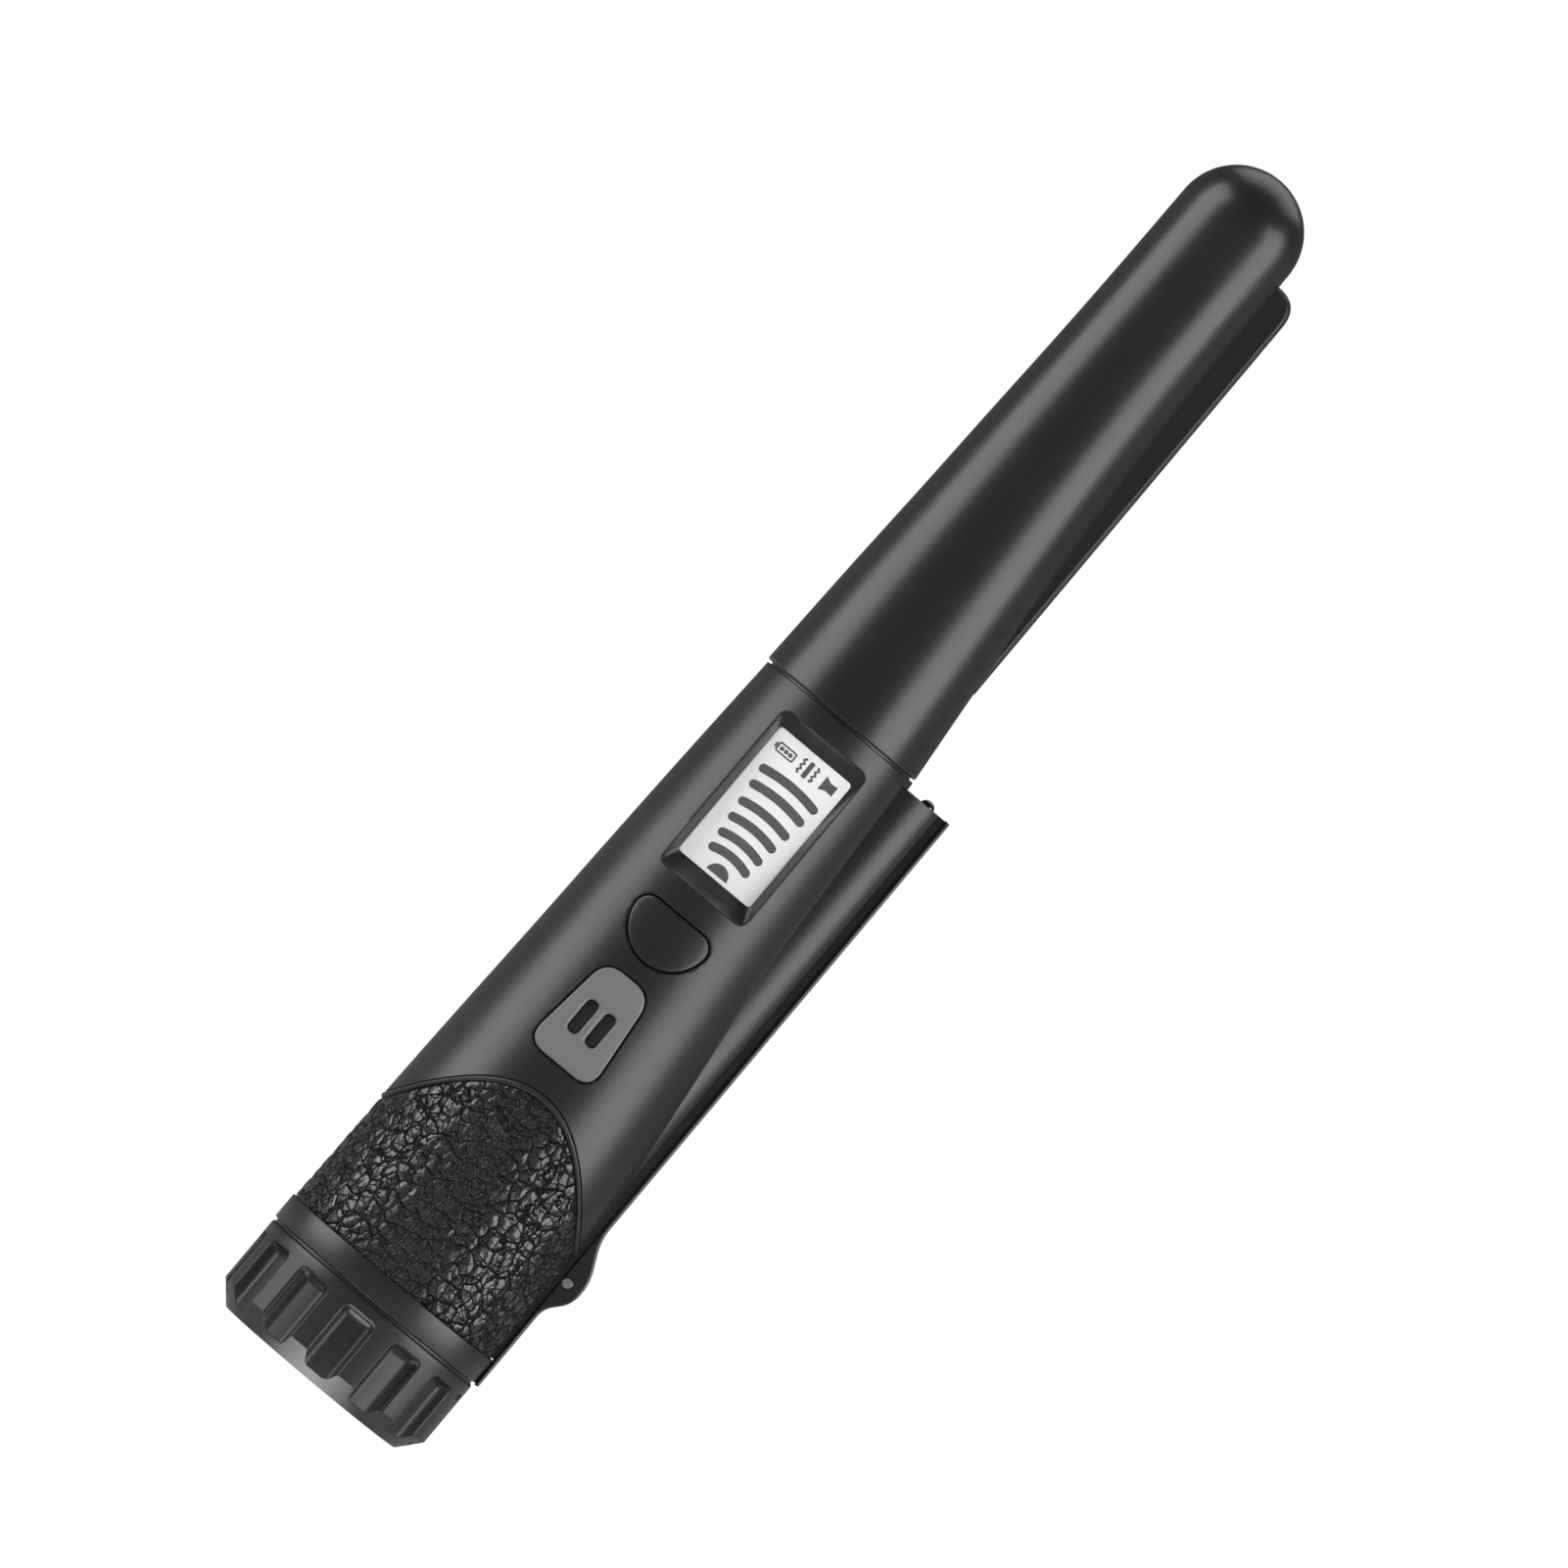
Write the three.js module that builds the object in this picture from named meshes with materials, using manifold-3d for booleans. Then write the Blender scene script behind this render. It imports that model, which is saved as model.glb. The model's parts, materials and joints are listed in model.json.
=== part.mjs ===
// Handheld scanner wand: a probe with a scraper blade, a handle with display, buttons and torch, a
// leather-grained grip and a fluted screw cap over a 9 V block battery.
// Millimetres. +Z runs along the handle towards the probe's nose, -Y is the display side and +X the
// side of the blade, the torch and the spine strip. The origin is the centre of the cap's base.

import * as THREE from 'three';
import { mergeVertices } from 'three/addons/utils/BufferGeometryUtils.js';
import Module from 'manifold-3d';

const wasm = await Module();
wasm.setup();

// ---- Driving dimensions ----

const GAP = 0.3;
const ROUND = 36;

// Outer tubes as stations: height, centre along X, radius.
const HANDLE_STATIONS = [
    [20.9, 0, 20.5],
    [41, 0, 20.1],
    [57, -0.3, 19.4],
    [80, -1.1, 17.9],
    [96, -1.8, 16.8],
    [116, -2.1, 15.9],
    [134, -2.3, 15.05],
];
const PROBE_STATIONS = [
    [134.6, -2.5, 15.2],
    [155, -3.2, 13.9],
    [171, -3.6, 12.9],
    [187, -4.0, 12.0],
    [205, -4.2, 11.2],
    [220, -4.2, 10.9],
    [234.2, -4.15, 10.8],
];
const HANDLE_WALL = 2.2;
const PROBE_WALL = 1.8;

// Neck, ring and cap at the battery end.
const NECK = { radius: 17.6, bore: 16.3, bottom: 4.5, bayTop: 60.5, sealZ: 13.5, groove: 0.5 };
const RING = { bottom: 16.1, top: 20.6, radius: 20.75, bore: 17.9 };
const CAP = { height: 15.6, radius: 20.6, bore: 17.9, floor: 3, chamfer: 3.1, chamferTop: 3.6, lip: 0.6 };
const FLUTES = { count: 13, width: 6.2, floorWidth: 3.4, depth: 1.8, top: 13.4 };

// Spigot that the probe shell slides over, and its seal.
const SPIGOT = { radius: 12, bore: 9, top: 146, centre: -2.5, seal: 141 };

// Everything on the display face is centred on this X.
const FACE_X = -1.8;
const RECESS = { width: 17, bottom: 98.8, top: 130.1, corner: 1.6 };
const DISPLAY = { width: 14.8, bottom: 101.9, top: 127.6, corner: 0.8, y: -11.9 };
const MODE = { width: 14.2, bottom: 84.8, top: 94.05, corner: 2.6, flangeY: -12, switchZ: 89.2 };
const POWER = { topWidth: 9.2, bottomWidth: 13, bottom: 63.9, top: 81, corner: 3.3, flangeY: -13.8 };
const INLAY = { width: 2.1, bottom: 68.9, top: 75.1, offset: 1.8, sunk: 0.4 };
const BUTTON_GAP = 0.35;
const FLANGE = { lip: 1, thickness: 1 };
const STEM_RADIUS = 2;
const SWITCH = { size: 6, front: -9, bore: 1.9, boreDepth: 1.8 };
const PLUNGER = { radius: 1.6, front: -9.8, back: -8.1 };

// Torch lobe beside the barrel, the strip that closes its channel, and the lanyard lug.
// The lobe's front and back are shallow arcs that meet a narrow rail; each arc's centre lies past the
// middle plane by the same small distance.
const LOBE = { x: 12.7, radius: 7.7, back: 2.2, turn: 57, start: 8, rail: 20.6, bottom: 21.3, top: 132.6 };
const SPINE = { x: 20.9, outer: 21.5, halfWidth: 2.3, bottom: 15.9, top: 132.7 };
const LUG = { bottom: 30.7, top: 48.8, outer: 24.6, peak: 38, slot: 1.3 };
const PIN = { x: 21.8, z: 37.7, radius: 0.95, scoop: 2.9 };
const LED = { x: 16.9, radius: 1.35, flange: 1.55, bottom: 126, shoulder: 127.2, domeZ: 132.25 };
const TORCH_BOARD = { x: [16.2, 17.6], halfWidth: 1.4, z: [115, 125.6] };
const TORCH_POCKET = { x: 14.9, halfWidth: 1.75, z: [111, 127.6] };
const TORCH_CHANNEL = { x: 17.3, halfWidth: 1.3, z: [64, 112] };
const TORCH_LEAD_HOLE = { radius: 1.4, x: [8, 19], z: 67 };

// Grip: a sleeve sunk into the barrel, its upper edge a parabola seen from the display side.
const GRIP = { apex: 58.5, drop: 15.6, atX: 19.8, thickness: 1.2, trim: 1.1 };

const BLADE = { x: 11.2, top: 231.9, bottom: 158, corner: 4.6, halfThickness: 1 };
const BOARD = { front: -6, back: -4.4, left: -11.3, right: 7.7, bottom: 63, top: 128 };
const BOARD_SCREWS = [[-9.8, 66], [6.2, 66], [-9.8, 99], [6.2, 99]];
const BOARD_SCREW = { hole: 0.75, radius: 0.6, head: 1.2, headY: [-6.9, -6.3], tipY: -1 };
const CARRIER = { back: 4.5, wall: 3, floorY: 3 };
const PROCESSOR = { x: [-6.8, 3.2], z: [110, 120], thickness: 1.2 };
const AMPLIFIER = { x: [-4.3, 0.7], z: [101.5, 107.5] };
const BUZZER = { radius: 6, back: 2, z: 78 };
const MOTOR = { y: -0.3, radius: 2.5, bottom: 86, top: 95, shaft: 0.45, shaftTop: 99.8 };
const WEIGHT = { radius: 2.4, bottom: 95.5, top: 99.2, flat: 1 };
const BATTERY = { halfX: 13.25, halfY: 8.75, bottom: 8.8, top: 54.8, corner: 2, poleX: 6.35 };
const POLE = { radius: 2.9, height: 2.8, contact: 3.2, contactTop: 58.4 };
const CONTACT_BOARD = { radius: 15.4, z: [58.6, 60.2] };
const PRESSURE_PLATE = { radius: 12, z: [6.8, 8.3] };
const SPRING = { turns: 3, steps: 36, radius: 9, taper: 2, wire: 0.35, bottom: 3.75, rise: 2.2 };

// Search coil: a former on the ferrite rod, with a foot in the probe's root and a collar near its nose.
const FORMER = { x: -4, bore: 5, radius: 6.5, bottom: 147, top: 230 };
const FORMER_FOOT = { x: -3.2, radius: 11, top: 149 };
const FORMER_COLLAR = { radius: 8.4, bore: 6, z: [226, 228] };
const FERRITE = { radius: 4.7, z: [150, 229] };
const WINDING_BORE = 6.8;
const WINDINGS = { transmit_winding: [8.6, 165, 195], receive_winding: [8.2, 208, 224] };

// Routes of the wires, and their radii.
const COIL_LEAD = {
    radius: 0.6,
    route: [
        [-4, 2, 146.7],
        [-3.4, 1, 140],
        [-1.8, -4, 133],
        [-1.8, -5.2, 128.4],
    ],
};
const BATTERY_LEAD = { radius: 0.5, route: [[-1.8, 2, 61.2], [-1.8, -1, 61.4], [-1.8, -5.2, 61.9]] };
const TORCH_LEAD = {
    radius: 0.6,
    route: [
        [18.6, 0, 114.4],
        [18.8, 0, 110],
        [18.8, 0, 74],
        [18.5, 0, 68.5],
        [17.2, 0, 67],
        [11.5, 0, 67],
        [9.6, -1.5, 67],
        [8.7, -5.2, 67],
    ],
};

// ---- Shape helpers ----

// A manifold solid from a closed three.js geometry, whichever way its faces were wound.
function solid(geometry) {
    const bare = geometry.index ? geometry.toNonIndexed() : geometry.clone();
    bare.deleteAttribute('normal');
    bare.deleteAttribute('uv');
    const merged = mergeVertices(bare, 1e-4);
    const places = merged.attributes.position.array;
    const corners = merged.index.array;
    const point = (i) => new THREE.Vector3().fromArray(places, corners[i] * 3);
    const kept = [];
    let volume = 0;
    for (let i = 0; i < corners.length; i += 3) {
        const [a, b, c] = [corners[i], corners[i + 1], corners[i + 2]];
        if (a === b || b === c || c === a) continue;
        kept.push([a, b, c]);
        volume += point(i).dot(point(i + 1).cross(point(i + 2)));
    }
    const wound = volume < 0 ? kept.map(([a, b, c]) => [a, c, b]) : kept;
    const mesh = new wasm.Mesh({
        numProp: 3,
        vertProperties: new Float32Array(places),
        triVerts: new Uint32Array(wound.flat()),
    });
    return new wasm.Manifold(mesh);
}

function geometryOf(body) {
    const mesh = body.getMesh();
    const geometry = new THREE.BufferGeometry();
    geometry.setAttribute('position', new THREE.BufferAttribute(mesh.vertProperties, 3));
    geometry.setIndex(new THREE.BufferAttribute(mesh.triVerts, 1));
    geometry.computeVertexNormals();
    return geometry;
}

function joined(...bodies) {
    return bodies.reduce((sum, body) => sum.add(body));
}

function without(body, ...cutters) {
    return cutters.reduce((left, cutter) => left.subtract(cutter), body);
}

// A profile of [radius, height] pairs turned about an axis parallel to Z.
function turned(profile, x = 0, y = 0, segments = ROUND) {
    const points = profile.map(([radius, height]) => new THREE.Vector2(radius, height));
    return solid(new THREE.LatheGeometry(points, segments).rotateX(Math.PI / 2).translate(x, y, 0));
}

function tubeAlongZ(outer, inner, bottom, top, x = 0, y = 0, segments = ROUND) {
    const profile = [[inner, bottom], [outer, bottom], [outer, top], [inner, top], [inner, bottom]];
    return turned(profile, x, y, segments);
}

function box(x, y, z) {
    const geometry = new THREE.BoxGeometry(x[1] - x[0], y[1] - y[0], z[1] - z[0]);
    return solid(geometry.translate((x[0] + x[1]) / 2, (y[0] + y[1]) / 2, (z[0] + z[1]) / 2));
}

// A cylinder along 'x', 'y' or 'z' between two places on that axis; the other two place its centre.
function rod(axis, radius, from, to, centre, segments = 20) {
    const geometry = new THREE.CylinderGeometry(radius, radius, to - from, segments);
    const middle = (from + to) / 2;
    if (axis === 'x') geometry.rotateZ(Math.PI / 2).translate(middle, centre[0], centre[1]);
    if (axis === 'y') geometry.translate(centre[0], middle, centre[1]);
    if (axis === 'z') geometry.rotateX(Math.PI / 2).translate(centre[0], centre[1], middle);
    return solid(geometry);
}

// An outline in X and Z, extruded along Y.
function slab(shape, y, segments = 8) {
    const depth = y[1] - y[0];
    const settings = { depth, bevelEnabled: false, curveSegments: segments };
    const geometry = new THREE.ExtrudeGeometry(shape, settings);
    return solid(geometry.rotateX(Math.PI / 2).translate(0, y[1], 0));
}

// A closed outline through corners [x, z], each rounded off by its own radius.
function roundedOutline(corners) {
    const shape = new THREE.Shape();
    const count = corners.length;
    corners.forEach(([x, z, radius], i) => {
        const corner = new THREE.Vector2(x, z);
        const before = new THREE.Vector2(...corners[(i + count - 1) % count]);
        const after = new THREE.Vector2(...corners[(i + 1) % count]);
        const from = before.sub(corner).setLength(radius).add(corner);
        const to = after.sub(corner).setLength(radius).add(corner);
        if (i === 0) shape.moveTo(from.x, from.y);
        else shape.lineTo(from.x, from.y);
        shape.quadraticCurveTo(x, z, to.x, to.y);
    });
    shape.closePath();
    return shape;
}

function roundedRectangle(width, bottom, top, corner, x = FACE_X) {
    const [left, right] = [x - width / 2, x + width / 2];
    return roundedOutline([
        [left, bottom, corner],
        [right, bottom, corner],
        [right, top, corner],
        [left, top, corner],
    ]);
}

// Smooth centre and radius at any height of a leaning tube.
function tubeAt(stations, height) {
    const last = stations.length - 2;
    let i = 0;
    while (i < last && height > stations[i + 1][0]) i += 1;
    const at = (n) => stations[Math.min(Math.max(n, 0), last + 1)];
    const [low, high] = [at(i), at(i + 1)];
    const span = high[0] - low[0];
    const t = Math.min(Math.max((height - low[0]) / span, 0), 1);
    const value = (k) => {
        const slope = (n) => (at(n + 1)[k] - at(n - 1)[k]) / (at(n + 1)[0] - at(n - 1)[0]);
        const [m0, m1] = [slope(i) * span, slope(i + 1) * span];
        const bend = (2 * t ** 3 - 3 * t ** 2 + 1) * low[k] + (t ** 3 - 2 * t ** 2 + t) * m0;
        return bend + (3 * t ** 2 - 2 * t ** 3) * high[k] + (t ** 3 - t ** 2) * m1;
    };
    return { centre: value(1), radius: value(2) };
}

// A turned profile whose every ring is moved sideways to the tube's centre at that height.
function leaning(stations, profile) {
    const points = profile.map(([radius, height]) => new THREE.Vector2(radius, height));
    const geometry = new THREE.LatheGeometry(points, ROUND).rotateX(Math.PI / 2);
    const places = geometry.attributes.position;
    for (let i = 0; i < places.count; i += 1) {
        places.setX(i, places.getX(i) + tubeAt(stations, places.getZ(i)).centre);
    }
    return solid(geometry);
}

// [radius, height] pairs up a leaning tube's wall, grown by a distance.
function wallProfile(stations, from, to, grow, rings = 7) {
    const steps = Array.from({ length: rings + 1 }, (_, i) => from + ((to - from) * i) / rings);
    return steps.map((height) => [tubeAt(stations, height).radius + grow, height]);
}

// A round cord along a smooth path through hand-chosen points.
function cord(points, radius, steps) {
    const places = points.map((point) => new THREE.Vector3(...point));
    const path = new THREE.CatmullRomCurve3(places, false, 'catmullrom', 0.3);
    const section = new THREE.Shape().absarc(0, 0, radius, 0, 2 * Math.PI);
    return solid(new THREE.ExtrudeGeometry(section, { steps, extrudePath: path, curveSegments: 3 }));
}

// ---- Materials ----

function material(color, roughness, metalness = 0) {
    return new THREE.MeshStandardMaterial({ color, roughness, metalness });
}

const plastic = () => material(0x2c2c2c, 0.42);
const innerPlastic = () => material(0x3a3a3a, 0.6);
const rubber = () => material(0x161616, 0.8);
const steel = () => material(0xb4b6b8, 0.3, 1);
const board = () => material(0x1d5a33, 0.5);
const chip = () => material(0x151515, 0.5);
const copper = () => material(0xb4683a, 0.35, 1);

const wand = new THREE.Group();

function add(name, body, look) {
    const mesh = new THREE.Mesh(geometryOf(body), look);
    mesh.name = name;
    wand.add(mesh);
}

// ---- Outer shapes that several pieces share ----

// The barrel's outside, grown by a distance.
function barrelOutside(grow, bottom = HANDLE_STATIONS[0][0]) {
    const [top] = HANDLE_STATIONS.at(-1);
    return leaning(HANDLE_STATIONS, [
        [0, bottom],
        ...wallProfile(HANDLE_STATIONS, bottom, top, grow, 9),
        [0, top],
    ]);
}

function lobe() {
    const { x, radius, back, turn, start, rail, bottom, top } = LOBE;
    const steps = 10;
    const front = Array.from({ length: steps + 1 }, (_, i) => {
        const angle = THREE.MathUtils.degToRad((turn * i) / steps);
        return new THREE.Vector2(x + radius * Math.sin(angle), back - radius * Math.cos(angle));
    });
    front.unshift(new THREE.Vector2(start, back - radius));
    front.push(new THREE.Vector2(rail, front.at(-1).y));
    const mirrored = front.map((point) => new THREE.Vector2(point.x, -point.y)).reverse();
    const section = new THREE.Shape([...front, ...mirrored]);
    const geometry = new THREE.ExtrudeGeometry(section, { depth: top - bottom, bevelEnabled: false });
    return solid(geometry.translate(0, 0, bottom));
}

function probeOutside(grow) {
    const [, , noseRadius] = PROBE_STATIONS.at(-1);
    const [noseZ] = PROBE_STATIONS.at(-1);
    const bottom = grow < 0 ? PROBE_STATIONS[0][0] - 1 : PROBE_STATIONS[0][0];
    const wall = wallProfile(PROBE_STATIONS, bottom, noseZ, grow);
    const dome = Array.from({ length: 4 }, (_, i) => {
        const angle = ((i + 1) / 5) * (Math.PI / 2);
        return [(noseRadius + grow) * Math.cos(angle), noseZ + (noseRadius + grow) * Math.sin(angle)];
    });
    return leaning(PROBE_STATIONS, [[0, bottom], ...wall, ...dome, [0, noseZ + noseRadius + grow]]);
}

// The region under the grip's arched edge, its apex raised or lowered, clear of the spine strip.
function archRegion(raise, bottom) {
    const reach = 24;
    const apex = GRIP.apex + raise;
    const foot = apex - GRIP.drop * (reach / GRIP.atX) ** 2;
    const shape = new THREE.Shape();
    shape.moveTo(-reach, bottom);
    shape.lineTo(reach, bottom);
    shape.lineTo(reach, foot);
    shape.quadraticCurveTo(0, 2 * apex - foot, -reach, foot);
    shape.closePath();
    return slab(shape, [-24, 24], 20);
}

function spineLane(grow) {
    const halfWidth = SPINE.halfWidth + grow;
    return box([15, 30], [-halfWidth, halfWidth], [0, 140]);
}

// ---- Probe ----

function addProbe() {
    add('probe_shell', probeOutside(0).subtract(probeOutside(-PROBE_WALL)), plastic());

    const outline = roundedOutline([
        [0, BLADE.bottom, 0.1],
        [BLADE.x, BLADE.bottom, 0.1],
        [BLADE.x, BLADE.top, BLADE.corner],
        [0, BLADE.top, 0.1],
    ]);
    const blade = slab(outline, [-BLADE.halfThickness, BLADE.halfThickness]);
    add('scraper_blade', blade.subtract(probeOutside(0.1)), plastic());

    const foot = tubeAlongZ(FORMER_FOOT.radius, FORMER.bore, FORMER.bottom, FORMER_FOOT.top, FORMER_FOOT.x);
    const former = joined(
        tubeAlongZ(FORMER.radius, FORMER.bore, FORMER.bottom, FORMER.top, FORMER.x, 0, 32),
        foot.subtract(rod('z', FORMER.bore, 140, 150, [FORMER.x, 0], 32)),
        tubeAlongZ(FORMER_COLLAR.radius, FORMER_COLLAR.bore, ...FORMER_COLLAR.z, FORMER.x, 0, 32),
    );
    add('coil_former', former, material(0xd8d4c8, 0.6));
    add('ferrite_rod', rod('z', FERRITE.radius, ...FERRITE.z, [FORMER.x, 0]), material(0x2b2a2c, 0.55));
    Object.entries(WINDINGS).forEach(([name, [radius, from, to]]) => {
        add(name, tubeAlongZ(radius, WINDING_BORE, from, to, FORMER.x, 0, 32), copper());
    });
    const ring = new THREE.TorusGeometry(SPIGOT.radius - 0.05, 0.45, 6, 24);
    add('probe_seal', solid(ring.translate(SPIGOT.centre, 0, SPIGOT.seal)), rubber());
    add('coil_lead', cord(COIL_LEAD.route, COIL_LEAD.radius, 10), rubber());
}

// ---- Handle ----

// The display recess: straight sides at the surface, sloping in to the display's own outline.
function recessCutter() {
    const { width, bottom, top, corner } = RECESS;
    const outline = new THREE.Shape(roundedRectangle(width, bottom, top, corner).getSpacedPoints(56));
    const outerY = -22;
    const depth = DISPLAY.y - outerY;
    const geometry = new THREE.ExtrudeGeometry(outline, { depth, steps: 2, bevelEnabled: false });
    geometry.rotateX(Math.PI / 2).translate(0, DISPLAY.y, 0);
    const middle = (bottom + top) / 2;
    const displayMiddle = (DISPLAY.bottom + DISPLAY.top) / 2;
    const places = geometry.attributes.position;
    for (let i = 0; i < places.count; i += 1) {
        const [x, y, z] = [places.getX(i), places.getY(i), places.getZ(i)];
        if (y > DISPLAY.y - 0.01) {
            places.setX(i, FACE_X + ((x - FACE_X) * DISPLAY.width) / width);
            places.setZ(i, displayMiddle + ((z - middle) * (DISPLAY.top - DISPLAY.bottom)) / (top - bottom));
        } else if (y > outerY + 0.01) {
            const tube = tubeAt(HANDLE_STATIONS, z);
            places.setY(i, 0.1 - Math.sqrt(tube.radius ** 2 - (x - tube.centre) ** 2));
        }
    }
    return solid(geometry);
}

function modeOutline(grow) {
    const half = MODE.width / 2 + grow;
    const corner = MODE.corner + grow;
    const cornerZ = MODE.top + grow - corner;
    const bowl = MODE.bottom - grow + half;
    const start = Math.asin((bowl - cornerZ) / half);
    const shape = new THREE.Shape();
    shape.absarc(FACE_X, bowl, half, Math.PI + start, 2 * Math.PI - start);
    shape.absarc(FACE_X + half - corner, cornerZ, corner, 0, Math.PI / 2);
    shape.absarc(FACE_X - half + corner, cornerZ, corner, Math.PI / 2, Math.PI);
    shape.closePath();
    return shape;
}

function powerOutline(grow) {
    const [lower, upper] = [POWER.bottomWidth / 2 + grow, POWER.topWidth / 2 + grow];
    const corner = POWER.corner + grow;
    return roundedOutline([
        [FACE_X - lower, POWER.bottom - grow, corner],
        [FACE_X + lower, POWER.bottom - grow, corner],
        [FACE_X + upper, POWER.top + grow, corner],
        [FACE_X - upper, POWER.top + grow, corner],
    ]);
}

function handleInside() {
    const topRadius = tubeAt(HANDLE_STATIONS, 128).radius - HANDLE_WALL;
    const upper = leaning(HANDLE_STATIONS, [
        [0, NECK.bayTop - 2],
        ...wallProfile(HANDLE_STATIONS, NECK.bayTop - 2, 128, -HANDLE_WALL, 5),
        [topRadius - 1, 130],
        [SPIGOT.bore, 131.5],
        [0, 131.5],
    ]);
    const bay = rod('z', NECK.bore, 0, NECK.bayTop, [0, 0], ROUND);
    return joined(upper, bay, rod('z', SPIGOT.bore, 130, 150, [SPIGOT.centre, 0], 36));
}

function torchCavities() {
    const [pocket, channel, hole] = [TORCH_POCKET, TORCH_CHANNEL, TORCH_LEAD_HOLE];
    return joined(
        box([channel.x, 22], [-channel.halfWidth, channel.halfWidth], channel.z),
        box([pocket.x, 22], [-pocket.halfWidth, pocket.halfWidth], pocket.z),
        rod('z', LED.radius + 0.15, 120, 140, [LED.x, 0]),
        rod('x', hole.radius, ...hole.x, [0, hole.z], 12),
    );
}

function handleBody() {
    const spigot = turned([
        [0, 133],
        [SPIGOT.radius, 133],
        [SPIGOT.radius, SPIGOT.seal - 0.7],
        [SPIGOT.radius - 0.8, SPIGOT.seal - 0.7],
        [SPIGOT.radius - 0.8, SPIGOT.seal + 0.7],
        [SPIGOT.radius, SPIGOT.seal + 0.7],
        [SPIGOT.radius, SPIGOT.top],
        [0, SPIGOT.top],
    ], SPIGOT.centre);
    const neck = turned([
        [0, NECK.bottom],
        [NECK.radius, NECK.bottom],
        [NECK.radius, NECK.sealZ - 0.5],
        [NECK.radius - NECK.groove, NECK.sealZ - 0.5],
        [NECK.radius - NECK.groove, NECK.sealZ + 0.5],
        [NECK.radius, NECK.sealZ + 0.5],
        [NECK.radius, 22],
        [0, 22],
    ]);
    const outside = joined(barrelOutside(0), lobe());
    const gripRoom = barrelOutside(1, 15)
        .intersect(archRegion(0.25, 15))
        .subtract(barrelOutside(-GRIP.thickness - GAP, 10))
        .subtract(spineLane(0));
    const { width, bottom, top, corner } = RECESS;
    const well = slab(roundedRectangle(width + 3, bottom - 1.5, top + 0.6, corner), [-22, -10.4]);
    const windowHole = slab(
        roundedRectangle(DISPLAY.width + 0.2, DISPLAY.bottom - 0.1, DISPLAY.top + 0.1, DISPLAY.corner),
        [-12.4, -6],
    );
    return without(
        joined(without(outside, gripRoom), spigot, neck)
            .subtract(handleInside())
            .add(well.intersect(barrelOutside(-0.4))),
        recessCutter(),
        windowHole,
        slab(modeOutline(BUTTON_GAP), [-24, -7]),
        slab(powerOutline(BUTTON_GAP), [-24, -7]),
        torchCavities(),
        rod('y', PIN.scoop, -LUG.slot - 0.4, LUG.slot + 0.4, [PIN.x, PIN.z]),
    );
}

function addHandle() {
    add('handle_barrel', handleBody(), plastic());
    add('end_ring', tubeAlongZ(RING.radius, RING.bore, RING.bottom, RING.top), plastic());
    const seal = new THREE.TorusGeometry(NECK.radius - 0.12, 0.32, 6, ROUND);
    add('cap_seal', solid(seal.translate(0, 0, NECK.sealZ)), rubber());

    const sleeve = barrelOutside(0).subtract(barrelOutside(-GRIP.thickness, 10)).subtract(spineLane(GAP));
    add('grip_wrap', sleeve.intersect(archRegion(-GRIP.trim - 0.2, 15)), rubber());
    add('grip_trim', sleeve.intersect(archRegion(0, 15).subtract(archRegion(-GRIP.trim, 10))), rubber());

    addSpine();
    addTorch();
}

// The strip over the torch channel, swelling into the lanyard lug, with the lanyard's slot.
function addSpine() {
    const { x, outer, bottom, top, halfWidth } = SPINE;
    const shape = new THREE.Shape();
    shape.moveTo(x, bottom);
    shape.lineTo(outer, bottom);
    shape.lineTo(outer, LUG.bottom);
    shape.bezierCurveTo(outer, LUG.bottom + 3.2, LUG.outer, LUG.peak - 4.4, LUG.outer, LUG.peak);
    shape.bezierCurveTo(LUG.outer, LUG.peak + 4.4, outer, LUG.top - 5, outer, LUG.top);
    shape.lineTo(outer, top);
    shape.lineTo(x, top);
    shape.closePath();
    const strip = slab(shape, [-halfWidth, halfWidth], 10);
    const slot = box([x - 1, 30], [-LUG.slot, LUG.slot], [PIN.z - 5.2, PIN.z + 5.2]);
    const pinHole = rod('y', PIN.radius + 0.15, -5, 5, [PIN.x, PIN.z]);
    add('spine_strip', without(strip, slot, pinHole), plastic());
    add('lanyard_pin', rod('y', PIN.radius, -halfWidth, halfWidth, [PIN.x, PIN.z]), steel());
}

function addTorch() {
    const dome = Array.from({ length: 4 }, (_, i) => {
        const angle = ((i + 1) / 5) * (Math.PI / 2);
        return [LED.radius * Math.cos(angle), LED.domeZ + LED.radius * Math.sin(angle)];
    });
    const led = turned([
        [0, LED.bottom],
        [LED.flange, LED.bottom],
        [LED.flange, LED.shoulder],
        [LED.radius, LED.shoulder],
        [LED.radius, LED.domeZ],
        ...dome,
        [0, LED.domeZ + LED.radius],
    ], LED.x, 0, 20);
    add('torch_led', led, material(0x101010, 0.15));
    const halfWidth = [-TORCH_BOARD.halfWidth, TORCH_BOARD.halfWidth];
    add('torch_board', box(TORCH_BOARD.x, halfWidth, TORCH_BOARD.z), board());
    add('torch_lead', cord(TORCH_LEAD.route, TORCH_LEAD.radius, 24), rubber());
}

// ---- Display, buttons and electronics ----

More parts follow.
